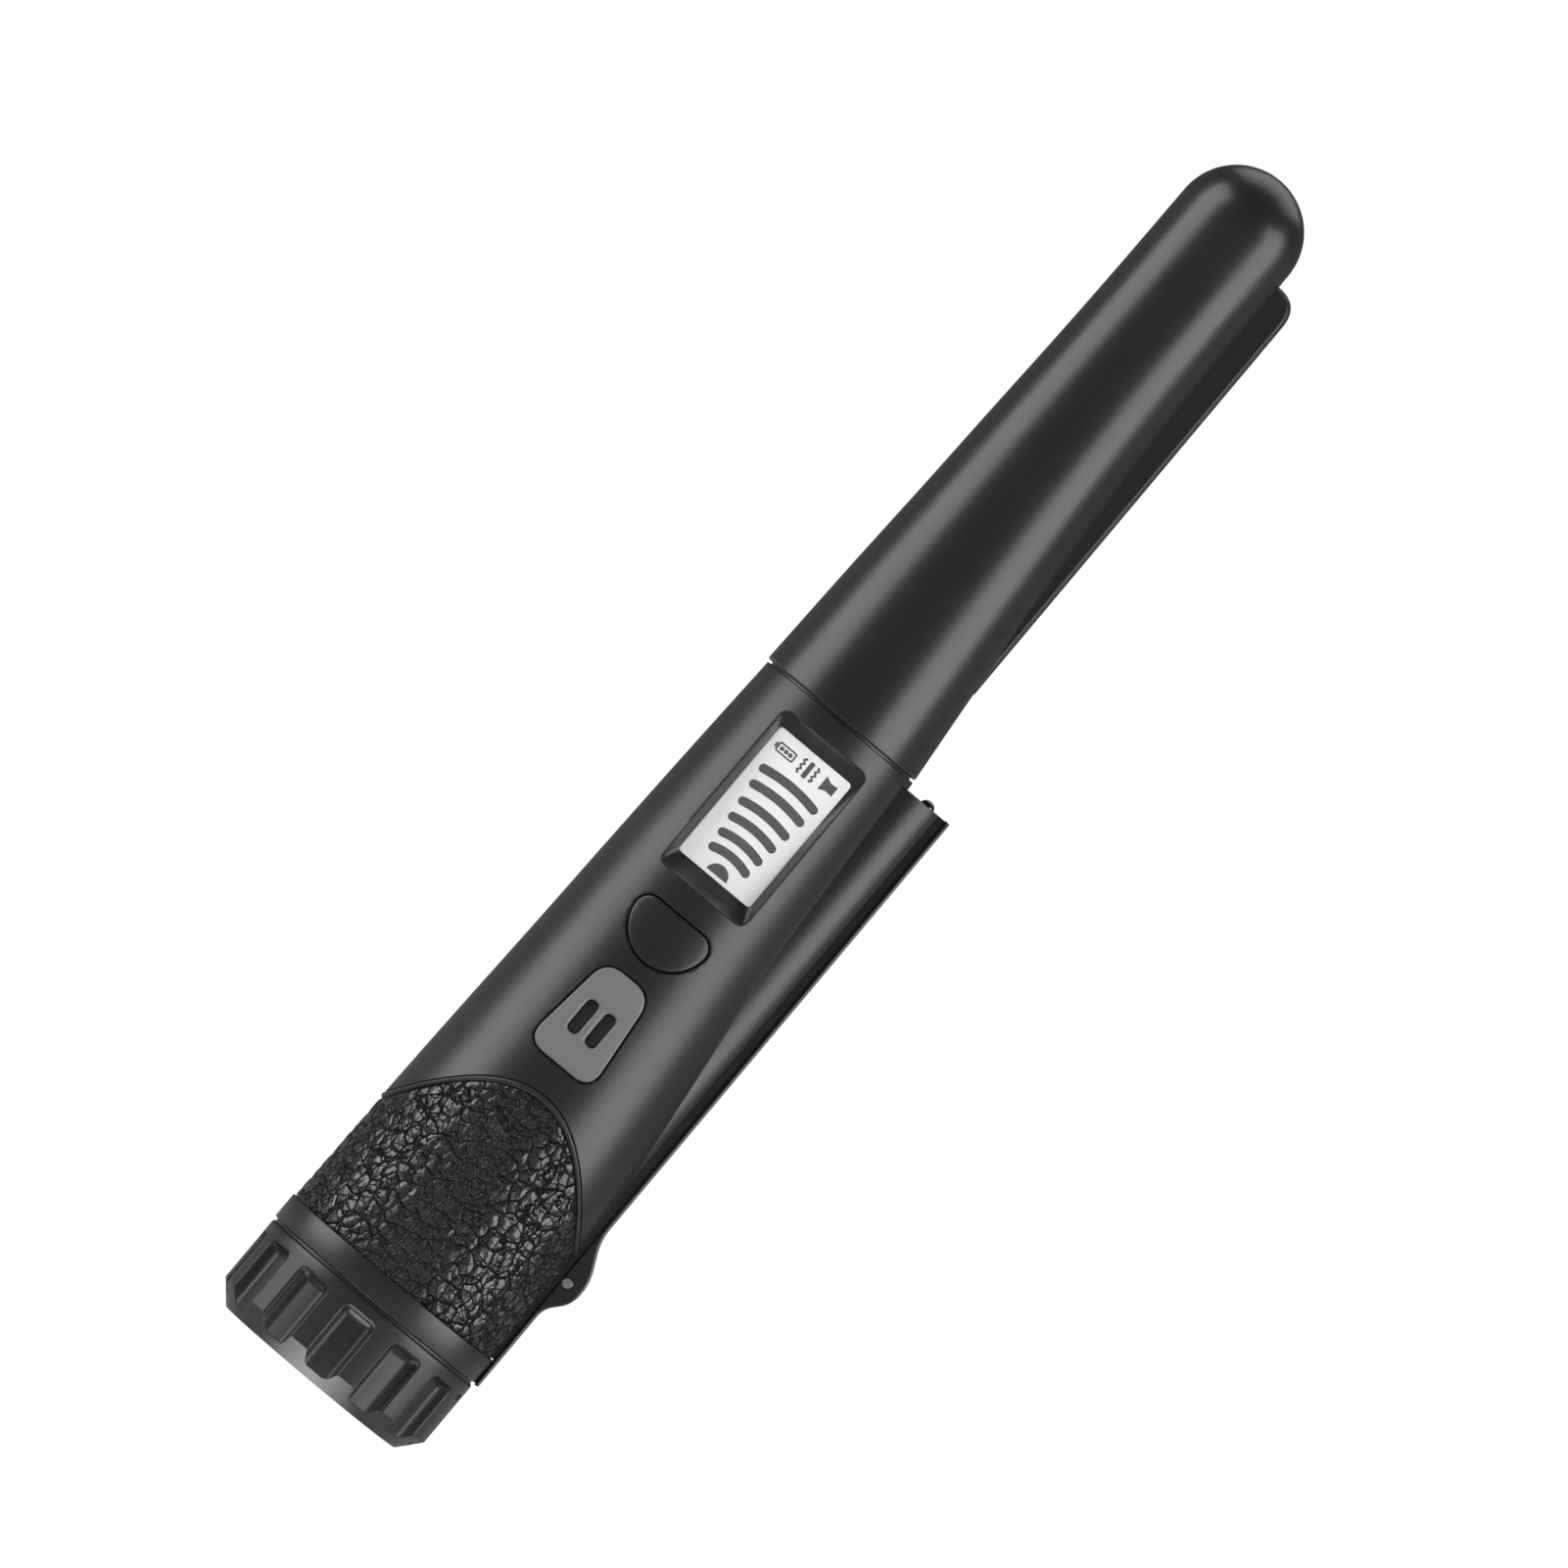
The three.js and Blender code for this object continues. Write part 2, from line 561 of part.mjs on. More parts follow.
function addDisplay() {
    const width = DISPLAY.width - 0.2;
    const [bottom, top] = [DISPLAY.bottom + 0.1, DISPLAY.top - 0.1];
    const outline = roundedRectangle(width, bottom, top, DISPLAY.corner);
    add('display_window', slab(outline, [DISPLAY.y, DISPLAY.y + 0.8]), material(0xdedede, 0.15));
    const edges = [FACE_X - width / 2, FACE_X + width / 2];
    const layer = (from, to, height = top) => box(edges, [DISPLAY.y + from, DISPLAY.y + to], [bottom, height]);
    add('display_panel', layer(1.1, 2.5), material(0xd2d6cc, 0.3));
    add('display_backlight', layer(2.8, 4.8), material(0xf2f2ee, 0.5));
    add('display_contact_strip', layer(5, 5.7, bottom + 2), rubber());
}

function addButton(name, outline, flangeY, middle, face, look) {
    const stemY = PLUNGER.front - GAP;
    const flange = slab(outline(FLANGE.lip), [flangeY, flangeY + FLANGE.thickness]);
    const stem = rod('y', STEM_RADIUS, flangeY + 0.5, stemY, [FACE_X, middle], 20);
    add(name, joined(face.intersect(slab(outline(0), [-24, flangeY + 0.2])), flange, stem), look);

    const half = SWITCH.size / 2;
    const boreY = [SWITCH.front - 1, SWITCH.front + SWITCH.boreDepth];
    const bore = rod('y', SWITCH.bore, ...boreY, [FACE_X, middle], 20);
    const width = [FACE_X - half, FACE_X + half];
    const body = box(width, [SWITCH.front, BOARD.front - GAP], [middle - half, middle + half]);
    add(`${name}_switch`, body.subtract(bore), chip());
    const plunger = rod('y', PLUNGER.radius, PLUNGER.front, PLUNGER.back, [FACE_X, middle], 20);
    add(`${name}_plunger`, plunger, innerPlastic());
}

function addButtons() {
    addButton('mode_button', modeOutline, MODE.flangeY, MODE.switchZ, barrelOutside(0.1), plastic());

    const middle = (INLAY.bottom + INLAY.top) / 2;
    const faceY = -tubeAt(HANDLE_STATIONS, middle).radius;
    const inlayShape = (side, grow) => {
        const [width, corner, x] = [INLAY.width + 2 * grow, INLAY.width / 2, FACE_X + side * INLAY.offset];
        return roundedRectangle(width, INLAY.bottom - grow, INLAY.top + grow, corner, x);
    };
    const sides = [-1, 1];
    const face = without(
        box([-20, 20], [faceY - 0.1, 0], [50, 100]),
        ...sides.map((side) => slab(inlayShape(side, 0.15), [-24, faceY + 1.6])),
    );
    addButton('power_button', powerOutline, POWER.flangeY, middle, face, material(0x7b7b7b, 0.5));
    sides.forEach((side) => {
        const inlay = slab(inlayShape(side, 0), [faceY + INLAY.sunk, faceY + 1.4]);
        add(`power_button_inlay_${side < 0 ? 'left' : 'right'}`, inlay, rubber());
    });
}

function addElectronics() {
    const { front, back, left, right, bottom, top } = BOARD;
    const holes = BOARD_SCREWS.map((place) => rod('y', BOARD_SCREW.hole, -12, 0.5, place, 12));
    add('main_board', without(box([left, right], [front, back], [bottom, top]), ...holes), board());
    const carrier = without(
        box([left, right], [back + GAP, CARRIER.back], [bottom + 1, top - 3]),
        box([left + CARRIER.wall, right - CARRIER.wall], [-8, CARRIER.floorY], [0, 200]),
        ...holes,
    );
    add('board_carrier', carrier, innerPlastic());
    BOARD_SCREWS.forEach(([x, z], i) => {
        const shank = rod('y', BOARD_SCREW.radius, BOARD_SCREW.headY[1] - 0.2, BOARD_SCREW.tipY, [x, z], 12);
        const head = rod('y', BOARD_SCREW.head, ...BOARD_SCREW.headY, [x, z], 16);
        add(`board_screw_${i + 1}`, shank.add(head), steel());
    });
    const chipY = [back + 0.2, back + 0.2 + PROCESSOR.thickness];
    add('processor_chip', box(PROCESSOR.x, chipY, PROCESSOR.z), chip());
    add('amplifier_chip', box(AMPLIFIER.x, chipY, AMPLIFIER.z), chip());
    add('buzzer', rod('y', BUZZER.radius, back + 0.2, BUZZER.back, [FACE_X, BUZZER.z], 32), chip());
    addVibrationMotor();
}

// A small motor on the board's back, with an off-centre weight on its shaft.
function addVibrationMotor() {
    const centre = [FACE_X, MOTOR.y];
    const body = rod('z', MOTOR.radius, MOTOR.bottom, MOTOR.top, centre);
    const shaft = rod('z', MOTOR.shaft, MOTOR.top - 1, MOTOR.shaftTop, centre, 12);
    add('vibration_motor', body.add(shaft), steel());
    const disc = rod('z', WEIGHT.radius, WEIGHT.bottom, WEIGHT.top, centre);
    const halfOff = box([FACE_X - 4, FACE_X + 4], [MOTOR.y + WEIGHT.flat, MOTOR.y + 4], [90, 105]);
    const bore = rod('z', MOTOR.shaft + 0.15, 90, 105, centre, 12);
    add('vibration_weight', without(disc, halfOff, bore), steel());
}

// ---- Battery and cap ----

function addBattery() {
    const { halfX, halfY, bottom, top, corner, poleX } = BATTERY;
    const shape = roundedOutline([
        [-halfX, -halfY, corner],
        [halfX, -halfY, corner],
        [halfX, halfY, corner],
        [-halfX, halfY, corner],
    ]);
    const depth = top - bottom;
    const geometry = new THREE.ExtrudeGeometry(shape, { depth, bevelEnabled: false, curveSegments: 4 });
    const block = solid(geometry.translate(0, 0, bottom));
    const posts = [-poleX, poleX].map((x) => rod('z', POLE.radius, top - 1, top + POLE.height, [x, 0]));
    add('battery', joined(block, ...posts), material(0x6f7276, 0.4, 0.6));
    add('contact_board', rod('z', CONTACT_BOARD.radius, ...CONTACT_BOARD.z, [0, 0], 36), board());
    const contacts = { battery_contact_positive: -poleX, battery_contact_negative: poleX };
    Object.entries(contacts).forEach(([name, x]) => {
        add(name, rod('z', POLE.contact, top + 3, POLE.contactTop, [x, 0]), steel());
    });
    add('battery_lead', cord(BATTERY_LEAD.route, BATTERY_LEAD.radius, 8), rubber());
}

function capBody() {
    const { height, radius, bore, floor, chamfer, chamferTop, lip } = CAP;
    return turned([
        [0, 0],
        [radius - chamfer, 0],
        [radius, chamferTop],
        [radius, height - lip],
        [radius - lip, height],
        [bore, height],
        [bore, floor],
        [0, floor],
    ], 0, 0, 4 * FLUTES.count);
}

// The room that one finger flute takes out of the cap: flat floor, sloping walls, open at the base.
function fluteCutter(turn) {
    const { width, floorWidth, depth, top } = FLUTES;
    const height = top + 1;
    const geometry = new THREE.BoxGeometry(width, depth + 0.4, height);
    const places = geometry.attributes.position;
    for (let i = 0; i < places.count; i += 1) {
        if (places.getY(i) > 0) places.setX(i, (Math.sign(places.getX(i)) * floorWidth) / 2);
    }
    const middle = (depth - 0.4) / 2 - CAP.radius;
    return solid(geometry.translate(0, middle, height / 2 - 1).rotateZ(turn));
}

function addCap() {
    const pitch = (2 * Math.PI) / FLUTES.count;
    const flutes = Array.from({ length: FLUTES.count }, (_, i) => fluteCutter(i * pitch));
    add('battery_cap', without(capBody(), ...flutes), plastic());

    const { turns, steps, radius, taper, wire, bottom, rise } = SPRING;
    const helix = Array.from({ length: steps + 1 }, (_, i) => {
        const angle = (i / steps) * turns * 2 * Math.PI;
        const reach = radius - (taper * i) / steps;
        return [reach * Math.cos(angle), reach * Math.sin(angle), bottom + (rise * i) / steps];
    });
    add('cap_spring', cord(helix, wire, steps), steel());
    const plate = rod('z', PRESSURE_PLATE.radius, ...PRESSURE_PLATE.z, [0, 0], 36);
    add('cap_pressure_plate', plate, innerPlastic());
}

addProbe();
addHandle();
addDisplay();
addButtons();
addElectronics();
addBattery();
addCap();

export default wand;
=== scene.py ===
"""The looks of the handheld scanner wand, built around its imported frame. Metres, in the frame's axes:
+Z along the handle towards the probe's nose, -Y the display side, +X the blade and torch side."""

import json
import math

import bmesh
import bpy
import numpy as np
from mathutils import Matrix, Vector, noise


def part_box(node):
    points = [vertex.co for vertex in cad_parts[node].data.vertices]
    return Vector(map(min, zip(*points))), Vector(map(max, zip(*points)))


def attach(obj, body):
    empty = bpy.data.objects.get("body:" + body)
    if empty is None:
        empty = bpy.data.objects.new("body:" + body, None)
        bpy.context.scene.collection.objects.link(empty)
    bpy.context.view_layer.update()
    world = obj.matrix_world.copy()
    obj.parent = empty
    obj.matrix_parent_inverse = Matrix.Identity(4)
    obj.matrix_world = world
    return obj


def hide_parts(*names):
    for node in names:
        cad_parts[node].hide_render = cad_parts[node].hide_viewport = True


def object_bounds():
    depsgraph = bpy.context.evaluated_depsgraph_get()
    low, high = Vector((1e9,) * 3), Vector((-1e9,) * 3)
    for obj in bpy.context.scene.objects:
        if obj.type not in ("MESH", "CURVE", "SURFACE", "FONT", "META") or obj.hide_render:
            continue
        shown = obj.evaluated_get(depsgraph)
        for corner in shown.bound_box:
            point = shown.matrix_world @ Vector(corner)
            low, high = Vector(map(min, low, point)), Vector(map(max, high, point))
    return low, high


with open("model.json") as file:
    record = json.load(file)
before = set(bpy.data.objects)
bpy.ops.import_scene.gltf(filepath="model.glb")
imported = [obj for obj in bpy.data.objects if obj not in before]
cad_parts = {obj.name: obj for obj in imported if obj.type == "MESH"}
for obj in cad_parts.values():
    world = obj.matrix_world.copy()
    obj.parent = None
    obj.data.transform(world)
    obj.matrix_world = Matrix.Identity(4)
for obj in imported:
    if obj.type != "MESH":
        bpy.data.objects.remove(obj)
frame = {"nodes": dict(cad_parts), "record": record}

CAD_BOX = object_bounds()
MM = 0.001

# ---- Driving dimensions, in millimetres as the wand is drawn; helpers turn them into metres ----

# Leaning round tubes as stations: height, centre along X, radius.
HANDLE = [
    (20.9, 0, 20.5), (41, 0, 20.1), (57, -0.3, 19.4), (80, -1.1, 17.9),
    (96, -1.8, 16.8), (116, -2.1, 15.9), (134, -2.3, 15.05),
]
PROBE = [
    (134.6, -2.5, 15.2), (155, -3.2, 13.9), (171, -3.6, 12.9), (187, -4.0, 12.0),
    (205, -4.2, 11.2), (220, -4.2, 10.9), (234.2, -4.15, 10.8),
]
HANDLE_WALL = 2.2
PROBE_WALL = 1.8
FACE_X = -1.8
LOBE_X, LOBE_RADIUS, LOBE_BACK, LOBE_TURN = 12.7, 7.7, 2.2, 57
LOBE_BOTTOM, LOBE_TOP, RAIL_X = 20.92, 132.6, 20.6
GRIP_APEX, GRIP_DROP, GRIP_AT_X = 58.5, 15.6, 19.8
GRIP_THICKNESS, TRIM_WIDTH = 1.2, 1.1
FLUTES, FLUTE_FLOOR, FLUTE_DEPTH = 13, 2.9, 1.8
CAP_CHAMFER, CAP_CHAMFER_TOP, FLUTE_TOP = 3.1, 3.6, 13.4


BOXES = {node: [Vector(corner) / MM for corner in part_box(node)] for node in frame["nodes"]}


def low(node):
    return BOXES[node][0].copy()


def high(node):
    return BOXES[node][1].copy()


# ---- Mesh helpers ----

def tube_at(stations, height):
    """Smooth centre and radius of a leaning tube at any height."""
    last = len(stations) - 2
    i = 0
    while i < last and height > stations[i + 1][0]:
        i += 1

    def at(n):
        return stations[min(max(n, 0), last + 1)]

    span = at(i + 1)[0] - at(i)[0]
    t = min(max((height - at(i)[0]) / span, 0.0), 1.0)

    def value(k):
        def slope(n):
            return (at(n + 1)[k] - at(n - 1)[k]) / (at(n + 1)[0] - at(n - 1)[0])
        m0, m1 = slope(i) * span, slope(i + 1) * span
        start = (2 * t**3 - 3 * t**2 + 1) * at(i)[k] + (t**3 - 2 * t**2 + t) * m0
        return start + (3 * t**2 - 2 * t**3) * at(i + 1)[k] + (t**3 - t**2) * m1

    return value(1), value(2)


def face_y(x, z, stations=HANDLE):
    """Where the tube's display side is, at a place seen from the front."""
    centre, radius = tube_at(stations, z)
    return -math.sqrt(max(radius**2 - (x - centre) ** 2, 0.01))


def smooth(t):
    t = min(max(t, 0.0), 1.0)
    return t * t * (3 - 2 * t)


def piece(name, rings, closed_ring=True, closed_stack=False, caps=True, sharp=35):
    """A mesh from rings of points in millimetres, each ring joined to the next."""
    mesh = bpy.data.meshes.new(name)
    bm = bmesh.new()
    rows = [[bm.verts.new(Vector(p) * MM) for p in ring] for ring in rings]
    count = len(rows[0])
    stack = list(zip(rows, rows[1:])) + ([(rows[-1], rows[0])] if closed_stack else [])
    for lower, upper in stack:
        for i in range(count if closed_ring else count - 1):
            j = (i + 1) % count
            bm.faces.new((lower[i], lower[j], upper[j], upper[i]))
    if caps:
        bm.faces.new(list(reversed(rows[0])))
        bm.faces.new(rows[-1])
    bmesh.ops.remove_doubles(bm, verts=bm.verts, dist=1e-7)
    bmesh.ops.recalc_face_normals(bm, faces=bm.faces)
    for face in bm.faces:
        face.smooth = True
    bm.to_mesh(mesh)
    bm.free()
    mesh.set_sharp_from_angle(angle=math.radians(sharp))
    obj = bpy.data.objects.new(name, mesh)
    bpy.context.collection.objects.link(obj)
    return obj


def ring_xy(radius, z, x=0.0, y=0.0, count=96):
    angles = (2 * math.pi * i / count for i in range(count))
    return [(x + radius * math.cos(a), y + radius * math.sin(a), z) for a in angles]


def turned(name, profile, x=0.0, y=0.0, count=96, closed=False, lean=None, sharp=35):
    """A profile of (radius, height) turned about Z; with lean, each ring sits on the tube's centre."""
    rings = []
    for radius, z in profile:
        shift = tube_at(lean, z)[0] if lean else 0.0
        rings.append(ring_xy(max(radius, 0.001), z, x + shift, y, count))
    return piece(name, rings, closed_stack=closed, caps=not closed, sharp=sharp)


def wall(stations, start, end, grow=0.0, rings=40):
    heights = [start + (end - start) * i / rings for i in range(rings + 1)]
    return [(tube_at(stations, z)[1] + grow, z) for z in heights]


def arc(radius, centre, start, end, steps=8):
    """Points on an arc in (radius, height), angles in degrees from +radius towards +height."""
    angles = [math.radians(start + (end - start) * i / steps) for i in range(steps + 1)]
    return [(centre[0] + radius * math.cos(a), centre[1] + radius * math.sin(a)) for a in angles]


def along_axis(name, axis, profile, centre, count=48, sharp=35):
    """A (radius, place) profile turned about an X or Y line through centre."""
    def point(radius, place, angle):
        u, v = centre[0] + radius * math.cos(angle), centre[1] + radius * math.sin(angle)
        return (place, u, v) if axis == "x" else (u, place, v)
    rings = [
        [point(max(r, 0.001), p, 2 * math.pi * i / count) for i in range(count)] for r, p in profile
    ]
    return piece(name, rings, sharp=sharp)


def cut(obj, *cutters, how="DIFFERENCE"):
    """Booleans obj with each cutter in turn and removes the cutters."""
    for cutter in cutters:
        change = obj.modifiers.new("cut", "BOOLEAN")
        change.operation = how
        change.solver = "MANIFOLD"
        change.object = cutter
        graph = bpy.context.evaluated_depsgraph_get()
        mesh = bpy.data.meshes.new_from_object(obj.evaluated_get(graph))
        obj.modifiers.clear()
        obj.data = mesh
        bpy.data.objects.remove(cutter)
    for face in obj.data.polygons:
        face.use_smooth = True
    obj.data.set_sharp_from_angle(angle=math.radians(30))
    return obj


def outline(corners, steps=8):
    """A closed outline in (x, z): each corner rounded by its own radius with a quadratic curve."""
    points = []
    for i, (x, z, radius) in enumerate(corners):
        corner = Vector((x, z))
        before = Vector(corners[i - 1][:2])
        after = Vector(corners[(i + 1) % len(corners)][:2])
        start = corner + (before - corner).normalized() * radius
        end = corner + (after - corner).normalized() * radius
        for k in range(steps + 1):
            t = k / steps
            points.append(start * (1 - t) ** 2 + corner * 2 * t * (1 - t) + end * t**2)
    return points


def spaced(points, step):
    """The same closed outline with extra points, none further apart than step."""
    dense = []
    for a, b in zip(points, points[1:] + points[:1]):
        count = max(1, math.ceil((b - a).length / step))
        dense += [a + (b - a) * k / count for k in range(count)]
    return dense


def grown(points, distance):
    """An outline moved outwards along its own normals."""
    count = len(points)
    area = sum(points[i - 1].x * points[i].y - points[i].x * points[i - 1].y for i in range(count))
    side = 1 if area > 0 else -1
    moved = []
    for i, point in enumerate(points):
        along = (points[(i + 1) % count] - points[i - 1]).normalized()
        moved.append(point + Vector((along.y, -along.x)) * distance * side)
    return moved


def rectangle(width, bottom, top, corner, x=FACE_X):
    left, right = x - width / 2, x + width / 2
    return outline([
        (left, bottom, corner), (right, bottom, corner), (right, top, corner), (left, top, corner),
    ])


def on_face(points, lift):
    """Lays outline points on the handle's display side, lift outwards."""
    return [(p.x, face_y(p.x, p.y) - lift, p.y) for p in points]


def flat_at(points, y):
    return [(p.x, y, p.y) for p in points]


def shrink(points, factor):
    middle = sum(points, Vector((0, 0))) / len(points)
    return [middle + (p - middle) * factor for p in points]


# ---- Materials ----

def link(tree, source, target):
    tree.links.new(source, target)


def new_material(name, color, roughness, metallic=0.0, coat=0.0, specular=0.5, glow=0.0):
    """A Principled material with the given colour, roughness, metal, coat, specular and glow, with nodes to build on.
    """
    look = bpy.data.materials.new(name)
    look.use_nodes = True
    tree = look.node_tree
    shader = tree.nodes["Principled BSDF"]
    shader.inputs["Base Color"].default_value = (*color, 1)
    shader.inputs["Roughness"].default_value = roughness
    shader.inputs["Metallic"].default_value = metallic
    shader.inputs["Specular IOR Level"].default_value = specular
    shader.inputs["Coat Weight"].default_value = coat
    shader.inputs["Coat Roughness"].default_value = 0.15
    shader.inputs["Emission Color"].default_value = (*color, 1)
    shader.inputs["Emission Strength"].default_value = glow
    return look, tree, shader


def texture(tree, kind, scale, **settings):
    node = tree.nodes.new(kind)
    place = tree.nodes.new("ShaderNodeTexCoord")
    link(tree, place.outputs["Object"], node.inputs["Vector"])
    node.inputs["Scale"].default_value = scale
    for key, value in settings.items():
        node.inputs[key].default_value = value
    return node


def remap(tree, source, low_value, high_value, out_low, out_high):
    node = tree.nodes.new("ShaderNodeMapRange")
    link(tree, source, node.inputs["Value"])
    for key, value in zip(("From Min", "From Max", "To Min", "To Max"), (low_value, high_value, out_low, out_high)):
        node.inputs[key].default_value = value
    return node.outputs["Result"]


def tint(tree, source, dark, light):
    ramp = tree.nodes.new("ShaderNodeValToRGB")
    ramp.color_ramp.elements[0].color = (*dark, 1)
    ramp.color_ramp.elements[1].color = (*light, 1)
    link(tree, source, ramp.inputs["Fac"])
    return ramp.outputs["Color"]


def bump(tree, shader, source, strength, distance, after=None):
    node = tree.nodes.new("ShaderNodeBump")
    node.inputs["Strength"].default_value = strength
    node.inputs["Distance"].default_value = distance
    link(tree, source, node.inputs["Height"])
    if after:
        link(tree, after, node.inputs["Normal"])
    link(tree, node.outputs["Normal"], shader.inputs["Normal"])
    return node.outputs["Normal"]


def speckled(name, color, roughness, grain=9000, depth=0.000012, strength=0.25, spread=0.12, **more):
    """Moulded plastic: a spark-eroded grain in the surface and a faint drift in tone and gloss."""
    look, tree, shader = new_material(name, color, roughness, **more)
    fine = texture(tree, "ShaderNodeTexNoise", grain, Detail=3.0)
    broad = texture(tree, "ShaderNodeTexNoise", 60, Detail=4.0)
    dark = tuple(c * (1 - spread) for c in color)
    light = tuple(min(c * (1 + spread), 1) for c in color)
    link(tree, tint(tree, broad.outputs["Fac"], dark, light), shader.inputs["Base Color"])
    gloss = remap(tree, broad.outputs["Fac"], 0.3, 0.7, roughness * 0.94, roughness * 1.06)
    link(tree, gloss, shader.inputs["Roughness"])
    bump(tree, shader, fine.outputs["Fac"], strength, depth)
    return look


def leather(name, color):
    """Grained leather: flat glossy pebbles between two overlapping nets of thin creases, bumped in and painted dark as
    painted shade.
    """
    look, tree, shader = new_material(name, color, 0.34)
    place = tree.nodes.new("ShaderNodeTexCoord")
    warp = tree.nodes.new("ShaderNodeTexNoise")
    warp.inputs["Scale"].default_value = 700
    link(tree, place.outputs["Object"], warp.inputs["Vector"])
    spread = tree.nodes.new("ShaderNodeVectorMath")
    spread.operation = "MULTIPLY_ADD"
    spread.inputs[1].default_value = (0.0012, 0.0012, 0.0012)
    link(tree, warp.outputs["Color"], spread.inputs[0])
    link(tree, place.outputs["Object"], spread.inputs[2])
    depth, swell = None, None
    for scale, stretch, reach in ((430, (1, 1, 0.8), 0.08), (600, (1.1, 0.9, 0.85), 0.06)):
        turn = tree.nodes.new("ShaderNodeMapping")
        turn.inputs["Scale"].default_value = stretch
        turn.inputs["Rotation"].default_value = (0, 0, scale)
        link(tree, spread.outputs["Vector"], turn.inputs["Vector"])
        net = tree.nodes.new("ShaderNodeTexVoronoi")
        net.feature = "DISTANCE_TO_EDGE"
        net.inputs["Scale"].default_value = scale
        link(tree, turn.outputs["Vector"], net.inputs["Vector"])
        height = remap(tree, net.outputs["Distance"], 0.0, reach, 0.0, 1.0)
        if depth is None:
            depth = height
            swell = remap(tree, net.outputs["Distance"], 0.0, 0.45, 0.0, 1.0)
        else:
            least = tree.nodes.new("ShaderNodeMath")
            least.operation = "MINIMUM"
            link(tree, depth, least.inputs[0])
            link(tree, height, least.inputs[1])
            depth = least.outputs["Value"]
    # painted shade: the crease colour falls to a fifth of the leather's, darkest along the crease lines
    dark = tuple(c * 0.2 for c in color)
    link(tree, tint(tree, depth, dark, color), shader.inputs["Base Color"])
    link(tree, remap(tree, depth, 0.0, 1.0, 0.8, 0.3), shader.inputs["Roughness"])
    link(tree, remap(tree, depth, 0.0, 0.8, 0.1, 0.68), shader.inputs["Specular IOR Level"])
    pores = texture(tree, "ShaderNodeTexNoise", 5200, Detail=5.0, Roughness=0.65)
    round_tops = bump(tree, shader, swell, 0.8, 0.00022)
    first = bump(tree, shader, depth, 1.0, 0.00042, after=round_tops)
    bump(tree, shader, pores.outputs["Fac"], 0.25, 0.00002, after=first)
    return look


def brushed(name, color, roughness, stretch=(1, 1, 12)):
    """Metal with a fine directional grain."""
    look, tree, shader = new_material(name, color, roughness, metallic=1.0)
    place = tree.nodes.new("ShaderNodeTexCoord")
    scale = tree.nodes.new("ShaderNodeMapping")
    scale.inputs["Scale"].default_value = stretch
    link(tree, place.outputs["Object"], scale.inputs["Vector"])
    grain = tree.nodes.new("ShaderNodeTexNoise")
    grain.inputs["Scale"].default_value = 1500
    grain.inputs["Detail"].default_value = 4
    link(tree, scale.outputs["Vector"], grain.inputs["Vector"])
    link(tree, remap(tree, grain.outputs["Fac"], 0.3, 0.7, roughness * 0.8, roughness * 1.25), shader.inputs["Roughness"])
    tones = tint(tree, grain.outputs["Fac"], tuple(c * 0.8 for c in color), color)
    link(tree, tones, shader.inputs["Base Color"])
    bump(tree, shader, grain.outputs["Fac"], 0.2, 0.00001)
    return look


def wound(name, color):
    """Enamelled wire laid turn beside turn: bands across Z, darker between turns as painted shade."""
    look, tree, shader = new_material(name, color, 0.3, metallic=1.0, coat=0.4)
    place = tree.nodes.new("ShaderNodeTexCoord")
    waves = tree.nodes.new("ShaderNodeTexWave")
    waves.bands_direction = "Z"
    waves.inputs["Scale"].default_value = 600
    waves.inputs["Distortion"].default_value = 0.2
    link(tree, place.outputs["Object"], waves.inputs["Vector"])
    # painted shade: each band falls to 0.4 of the copper colour in the grooves between turns
    link(tree, tint(tree, waves.outputs["Fac"], tuple(c * 0.4 for c in color), color), shader.inputs["Base Color"])
    bump(tree, shader, waves.outputs["Fac"], 0.6, 0.0001)
    return look


def solder_mask(name, color):
    """Circuit board: green mask over faint copper tracks."""
    look, tree, shader = new_material(name, color, 0.35, coat=0.3)
    tracks = texture(tree, "ShaderNodeTexBrick", 260)
    tracks.inputs["Color1"].default_value = (*color, 1)
    tracks.inputs["Color2"].default_value = (*(c * 1.5 for c in color), 1)
    tracks.inputs["Mortar"].default_value = (*(c * 2.2 for c in color), 1)
    tracks.inputs["Mortar Size"].default_value = 0.03
    link(tree, tracks.outputs["Color"], shader.inputs["Base Color"])
    bump(tree, shader, tracks.outputs["Fac"], 0.3, 0.00003)
    return look


